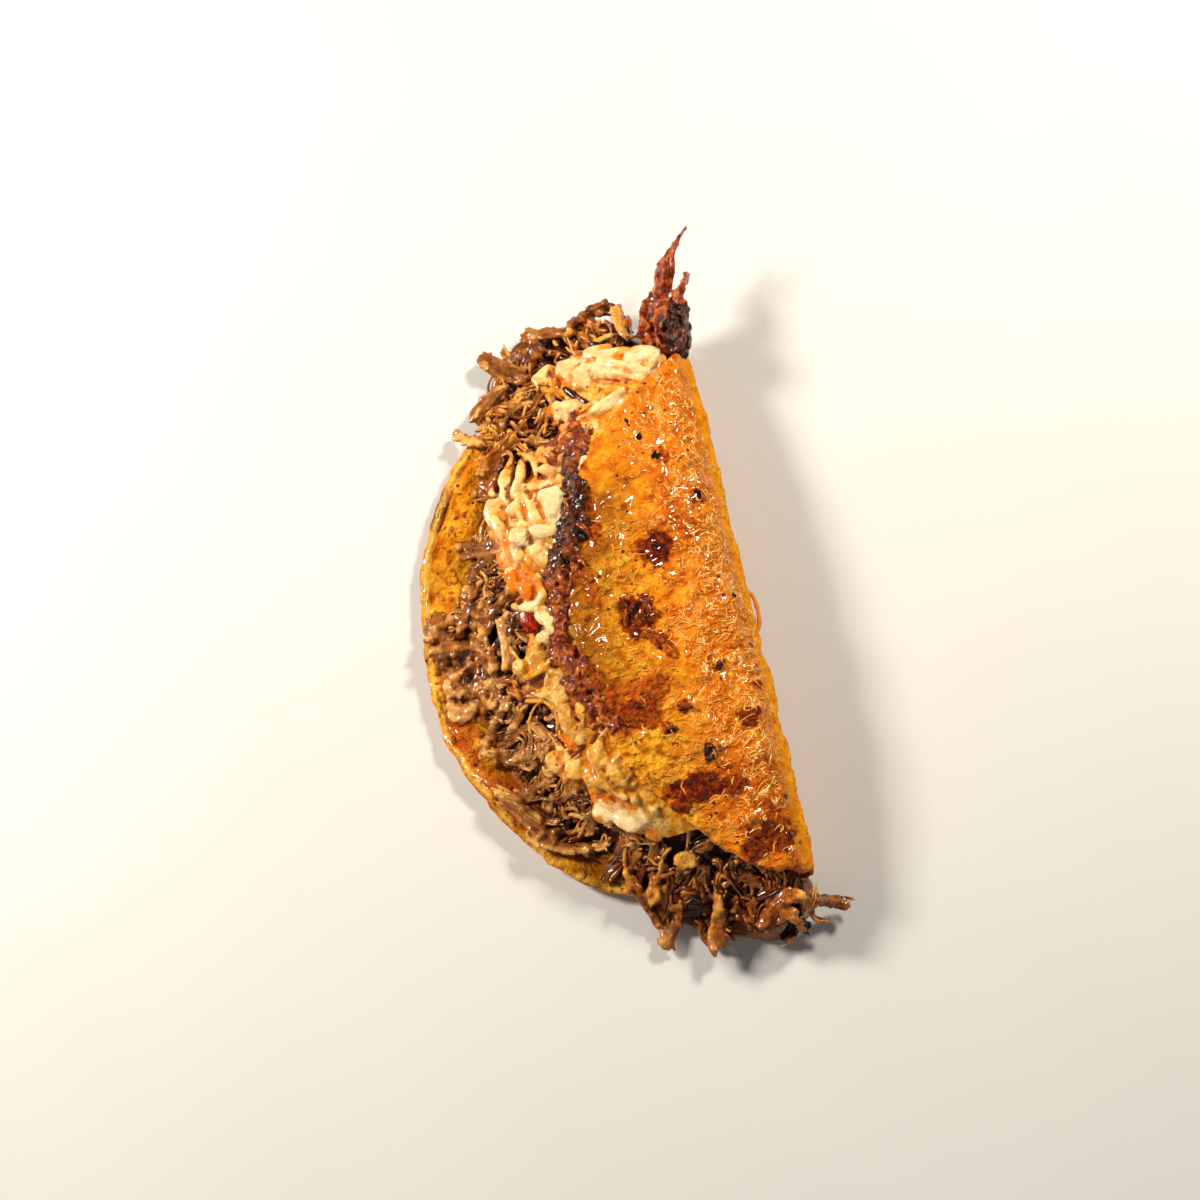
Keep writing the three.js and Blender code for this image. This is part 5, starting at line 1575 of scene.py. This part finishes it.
def make_beef(material):
    """All the shreds, painted lighter where they stand out of the heap and painted with shade where they lie
    deep in it.
    """
    parts = {"large_shreds": large_shreds(), "small_shreds": small_shreds(), "loose_fibres": loose_fibres()}
    heap = np.concatenate([points for points, _, _ in parts.values()])
    slab_x, slab_y = KEY_SHREDS[0][:2]
    for name, (points, faces, marks) in parts.items():
        x, y, _ = points.T
        from_rim = x - along(BEEF_MOUTH, y)
        # Painted light and shade: tone is raised on crests and lowered in hollows, less so near the mouth's
        # rim
        crest = np.clip(crests(points, heap, 2.5) / 1.6, -1.4 + 1.1 * fall(from_rim, 3, 3), 1)
        slab = spot(x, y, slab_x, slab_y, 3.6, 9, 0, 9)
        # Painted shade: the tone is lowered towards the heap's bottom end, below y -52
        tone = clamp01(marks["tone"] + 0.05 + 0.42 * crest - 0.22 * fall(y, -52, 10) + 0.22 * slab)
        marks["tone"] = np.maximum(tone, 0.3 * fall(from_rim, 6, 4))
        marks["orange"] = clamp01(marks["orange"] + 0.12)
        # Painted shade: deep marks the hollows that the material paints near-black
        marks["deep"] = fall(crest, -0.25, 0.75) * lerp(0.35, 1, rise(from_rim, 1, 5))
        new_piece("beef_" + name, points, faces, "beef", material, marks)


# ---------------------------------------------------------------- crisped end

CLUMP = np.array([-6, 78, 15.0])
CRISP_SCRAPS = 110

# Strips of meat that stand out of the clump: four corners from its middle, and a width
CRISP_STRIPS = [
    ([(1.4, 2, 1.5), (3.0, 11, 2.6), (6.6, 18, 4.0), (12.4, 24.3, 5)], 7.4),
    ([(1.0, 3, 2), (1.6, 9, 3.4), (4.4, 15, 4.2), (8.0, 19, 4.4)], 4.6),
    ([(4, 2, 2), (6.6, 8, 3), (9.4, 11.5, 1.6), (9.6, 14, 0)], 4.6),
    ([(-4, -3, 3), (-4.6, 2, 4.4), (-2.6, 6, 3.6), (0, 10, 1.5)], 4.4),
    ([(4, -7, 4), (6, -2, 5), (7, 3, 4), (6.6, 7.5, 1.0)], 4.4),
    ([(-2, -6, 5), (-1, -1, 6.2), (1.6, 4, 5), (3.4, 9, 2.4)], 4.6),
]


def crisp_scraps():
    """Rough flat scraps all over a ball."""
    draw = np.random.default_rng(53)
    count = CRISP_SCRAPS
    angle, up = draw.uniform(0, 2 * math.pi, count), draw.uniform(-0.9, 1, count)
    reach = draw.uniform(0.6, 1.05, count)
    level = np.sqrt(1 - up * up)
    on_ball = reach[:, None] * stacked(level * np.cos(angle), level * np.sin(angle), up)
    middles = CLUMP + [1, -1, 0] + on_ball * [5.8, 7.2, 5.6]
    size = draw.uniform(0.8, 2.4, count)[:, None] * [1.7, 0.9, 0.45]
    return lumps(middles, size, draw.normal(1.4, 0.9, count), draw.normal(0, 0.8, count),
                 draw.normal(0, 1.2, count), rough=0.3, seed=23)


def crisp_strip(index, corners, width, fibres=7):
    """A twisted strip that narrows to its end."""
    t = steps(fibres, 26)
    centre = cubic(np.repeat(CLUMP + [corners], fibres, 0), t)
    across, over = frame_along(centre)
    lane = np.linspace(-1, 1, fibres)[:, None]
    spin = 2.6 * (t - 0.35) + 0.5 * index
    taper = lerp(0.35, 1, fall(t, 1.02, 0.5)) * lerp(0.75, 1.0, rise(t, 0, 0.3))
    taper = width * taper * (0.9 + 0.3 * noise(t * 6, 0 * t + index, 1, 61))
    ribs = 0.75 + 0.5 * noise(t * 9, 3.0 * lane + index, 1, 63 + index)
    aside, above = 0.27 * taper * lane * np.cos(spin), 0.27 * taper * lane * np.sin(spin)
    paths = centre + across * aside[..., None] + over * above[..., None]
    return tubes(paths, 0.12 * taper * ribs + 0.12, 8)


def make_crisped_end(material):
    """A clump of scraps fried to a crisp, with a twisted strand that curls out of it."""
    core = lumps(CLUMP + [(0, -1, 0), (3.4, -5, 1.5)], [(5.2, 6.4, 5.2), (3.6, 5.0, 4.4)],
                 rough=0.34, grain=0.6, level=4, seed=21)
    strips = [crisp_strip(index, *strip) for index, strip in enumerate(CRISP_STRIPS)]
    points, faces, normals = fused([crisp_scraps(), core, *strips], CRISP_VOXEL, 1)
    points = pushed(points, normals, 0.26 * rough3(points, 1.0, 29, 2))
    x, y, _ = (points - CLUMP).T
    burnt = rise(x + 2.5 * noise3(points, 3, 30), -1, 3.5) * fall(y - 1.5 * noise3(points, 2, 31), 6, 3)
    new_piece("crisped_clump", points, faces, "crisped_end", material, {"burnt": 0.95 * burnt})


# ---------------------------------------------------------------- scraps and oil

# Scraps as x, y, half-length, half-width, half-thickness, turn, tilt, roll, burnt
SCRAPS = [
    (-30, 2.5, 2.3, 1.5, 0.45, 1.2, 0.25, 0.5, 1.0), (-29, -0.5, 1.6, 0.9, 0.35, 0.3, -0.2, 0.3, 1.0),
    (-32.5, 4.5, 2.2, 0.7, 0.45, 1.9, 0.3, 0.9, 0.45), (-27.4, 3.6, 2.6, 0.7, 0.5, -1.2, 0.2, 0.9, 0.3),
    (-28.4, -3.2, 2.0, 0.8, 0.4, -0.5, 0.1, 0.6, 0.3), (-33, 0.2, 1.8, 0.6, 0.4, 1.3, 0.0, 0.8, 0.4),
    (-26, -5.6, 2.4, 0.7, 0.35, -0.9, 0.15, 0.4, 0.35), (-24, -23, 1.9, 1.0, 0.4, -0.5, 0.2, 0.3, 1.0),
    (-27.5, -28, 1.5, 0.8, 0.35, -0.3, 0.2, 0.3, 0.9), (-20, -34, 1.0, 0.9, 0.6, 0.3, 0.2, 0.2, 1.0),
    (-20.6, -36.6, 0.9, 0.7, 0.6, 0.3, 0.2, 0.2, 1.0), (-13, -15, 1.0, 0.9, 0.5, 0.3, 0.2, 0.2, 0.9),
    (-39.5, 31, 3.0, 1.0, 0.4, 1.9, 0.15, 0.5, 0.15), (-38, 26, 2.4, 0.9, 0.4, 2.1, 0.1, 0.5, 0.1),
    (-36, 41, 2.2, 1.1, 0.4, 2.3, 0.3, 0.4, 0.7), (-50, -26, 3.0, 0.9, 0.4, 0.6, 0.25, 0.4, 0.3),
    (-46, -25, 2.6, 0.8, 0.35, 0.5, 0.2, 0.5, 0.2), (-50, -37.5, 1.7, 0.4, 0.25, 0.0, 0.0, 0.3, 1.0),
    (-31.2, 66, 3.6, 1.2, 0.5, -1.0, 0.15, 0.3, 1.0), (-29.4, 62.6, 2.4, 1.0, 0.45, -1.0, 0.1, 0.3, 1.0),
    (-22, 78, 2.8, 1.3, 0.7, -0.6, 0.2, 0.4, 0.9), (-17, 74, 2.4, 1.2, 0.6, -0.5, 0.2, 0.4, 0.7),
]
# The chilli scrap's place, half-sizes and angles
CHILLI = ((-55.9, 7.3), (3.3, 2.1, 0.45), (1.85, -0.05, -0.3))
OIL_BEADS = 110


def resting_height(x, y):
    """The top of whatever lies at a place: flap, cheese or beef."""
    flap = roof(x, y) + THICKNESS / 2 + 0.4
    cheese_there = (y > CHEESE_ENDS[0]) & (y < CHEESE_ENDS[1]) & (x > along(CHEESE_MOUTH, y))
    other = np.where(cheese_there, cheese_top(x, y) + 1.0, heap_top(x, y) + 2.0)
    return np.where(x > upper_edge(y), flap, other)


def make_scraps(material):
    """Charred scraps that lie on the flap, the cheese and the beef."""
    x, y, *half, turn, tilt, roll, burnt = np.array(SCRAPS).T
    middles = stacked(x, y, resting_height(x, y) + 0.25)
    points, faces = lumps(middles, np.stack(half, -1), turn, tilt, roll, rough=0.4, seed=37)
    burnt = np.repeat(burnt, len(points) // len(SCRAPS))
    new_piece("charred_scraps", points, faces, "cheese", material, {"burnt": burnt})


def make_chilli(material):
    """The scrap of chilli skin on the cheese."""
    place, half, angles = CHILLI
    x, y = np.array(place)[:, None]
    middle = stacked(x, y, cheese_top(x, y) + 2.7)
    points, faces = lumps(middle, [half], *angles, rough=0.14, level=4, seed=39)
    new_piece("chilli_scrap", points, faces, "cheese", material)


def make_oil(material):
    """Beads of oil on the open part of the lower flap."""
    draw = np.random.default_rng(59)
    count = OIL_BEADS
    y = draw.uniform(-46, 44, count)
    rim = fold_shape(y)[1] - np.sqrt(np.maximum(1, (DISC_R - 5) ** 2 - (y - DISC_Y) ** 2))
    x = lerp(rim, along(BEEF_MOUTH, y) + 0.5, draw.uniform(0.0, 1.0, count))
    size = draw.uniform(0.25, 0.75, count) ** 1.3
    half = stacked(size * draw.uniform(1.0, 1.7, count), size, size * 0.35)
    middles = stacked(x, y, heap_floor(x, y) - GAP + 0.05)
    points, faces = lumps(middles, half, draw.uniform(0, 3.1, count), rough=0.08, level=2, seed=41)
    new_piece("oil_beads", points, faces, "tortilla", material)


# ---------------------------------------------------------------- studio

# Lamps as place, aim, size, power, colour; metres, as the floor's size is
LAMPS = {
    "key": ((-0.48, 0.28, 0.42), (0, 0, 0.01), 0.14, 5.6, (1.0, 0.93, 0.82)),
    "rim": ((0.36, 0.26, 0.44), (0, 0, 0.02), 0.10, 3.0, (1.0, 0.92, 0.80)),
    "fill": ((0.1, -0.7, 0.6), (0, 0, 0.01), 0.6, 0.7, (1.0, 0.96, 0.90)),
}
WORLD_COLOUR, WORLD_STRENGTH = (1.0, 0.95, 0.88, 1.0), 0.07
FLOOR_SIZE = 6

# What the camera looks at, in the layout frame, and from how far off, turned and raised how much
CAMERA_AIM = np.array([-37.1, 10.4, 16.0])
CAMERA_DISTANCE = 600
CAMERA_TURN = math.radians(-12.6)
CAMERA_RISE = math.radians(75)
LENS, SENSOR_WIDTH = 72, 36
NEAREST_SEEN = 0.01


def put(name, data, place, aim):
    """Puts a lamp or a camera in the scene, aimed at a place."""
    placed = bpy.data.objects.new(name, data)
    placed.location = place
    placed.rotation_euler = (Vector(aim) - Vector(place)).to_track_quat("-Z", "Y").to_euler()
    bpy.context.scene.collection.objects.link(placed)
    return placed


def make_floor():
    """A pale floor, which is not part of the object."""
    bpy.ops.object.select_all(action="DESELECT")
    bpy.ops.mesh.primitive_plane_add(size=FLOOR_SIZE)
    floor = bpy.context.object
    floor.name = "floor"
    ground = Finish("pale_floor")
    colour = layered((0.74, 0.73, 0.71), (ground.cloud(60.0, 2.0), (0.78, 0.77, 0.75)))
    floor.data.materials.append(ground.made(colour, 0.6))


def make_lights():
    """Three lamps and a dim world."""
    for name, (place, aim, size, power, colour) in LAMPS.items():
        light = bpy.data.lights.new(name, "AREA")
        light.energy, light.size, light.color = power, size, colour
        put(name, light, place, aim)
    world = bpy.data.worlds.new("studio")
    world.use_nodes = True
    background = world.node_tree.nodes["Background"].inputs
    background["Color"].default_value, background["Strength"].default_value = WORLD_COLOUR, WORLD_STRENGTH
    bpy.context.scene.world = world
    bpy.context.scene.view_settings.view_transform = "Standard"


def make_camera():
    data = bpy.data.cameras.new("camera")
    data.lens, data.sensor_width, data.clip_start = LENS, SENSOR_WIDTH, NEAREST_SEEN
    level = math.cos(CAMERA_RISE)
    back = Vector((math.sin(CAMERA_TURN) * level, -math.cos(CAMERA_TURN) * level, math.sin(CAMERA_RISE)))
    aim = Vector(((CAMERA_AIM + LAYOUT_TO_ROW) * MM).tolist())
    bpy.context.scene.camera = put("camera", data, aim + back * CAMERA_DISTANCE * MM, aim)


def make_quesadilla():
    beef, crust = beef_material(), crust_material()
    make_tortilla(tortilla_material())
    make_curls(curl_material())
    make_cheese(cheese_material())
    make_crust(crust)
    make_beef_core(beef)
    make_beef(beef)
    make_crisped_end(crisp_material())
    make_scraps(crust)
    make_chilli(chilli_material())
    make_oil(oil_material())


make_camera()
make_floor()
make_lights()
make_quesadilla()
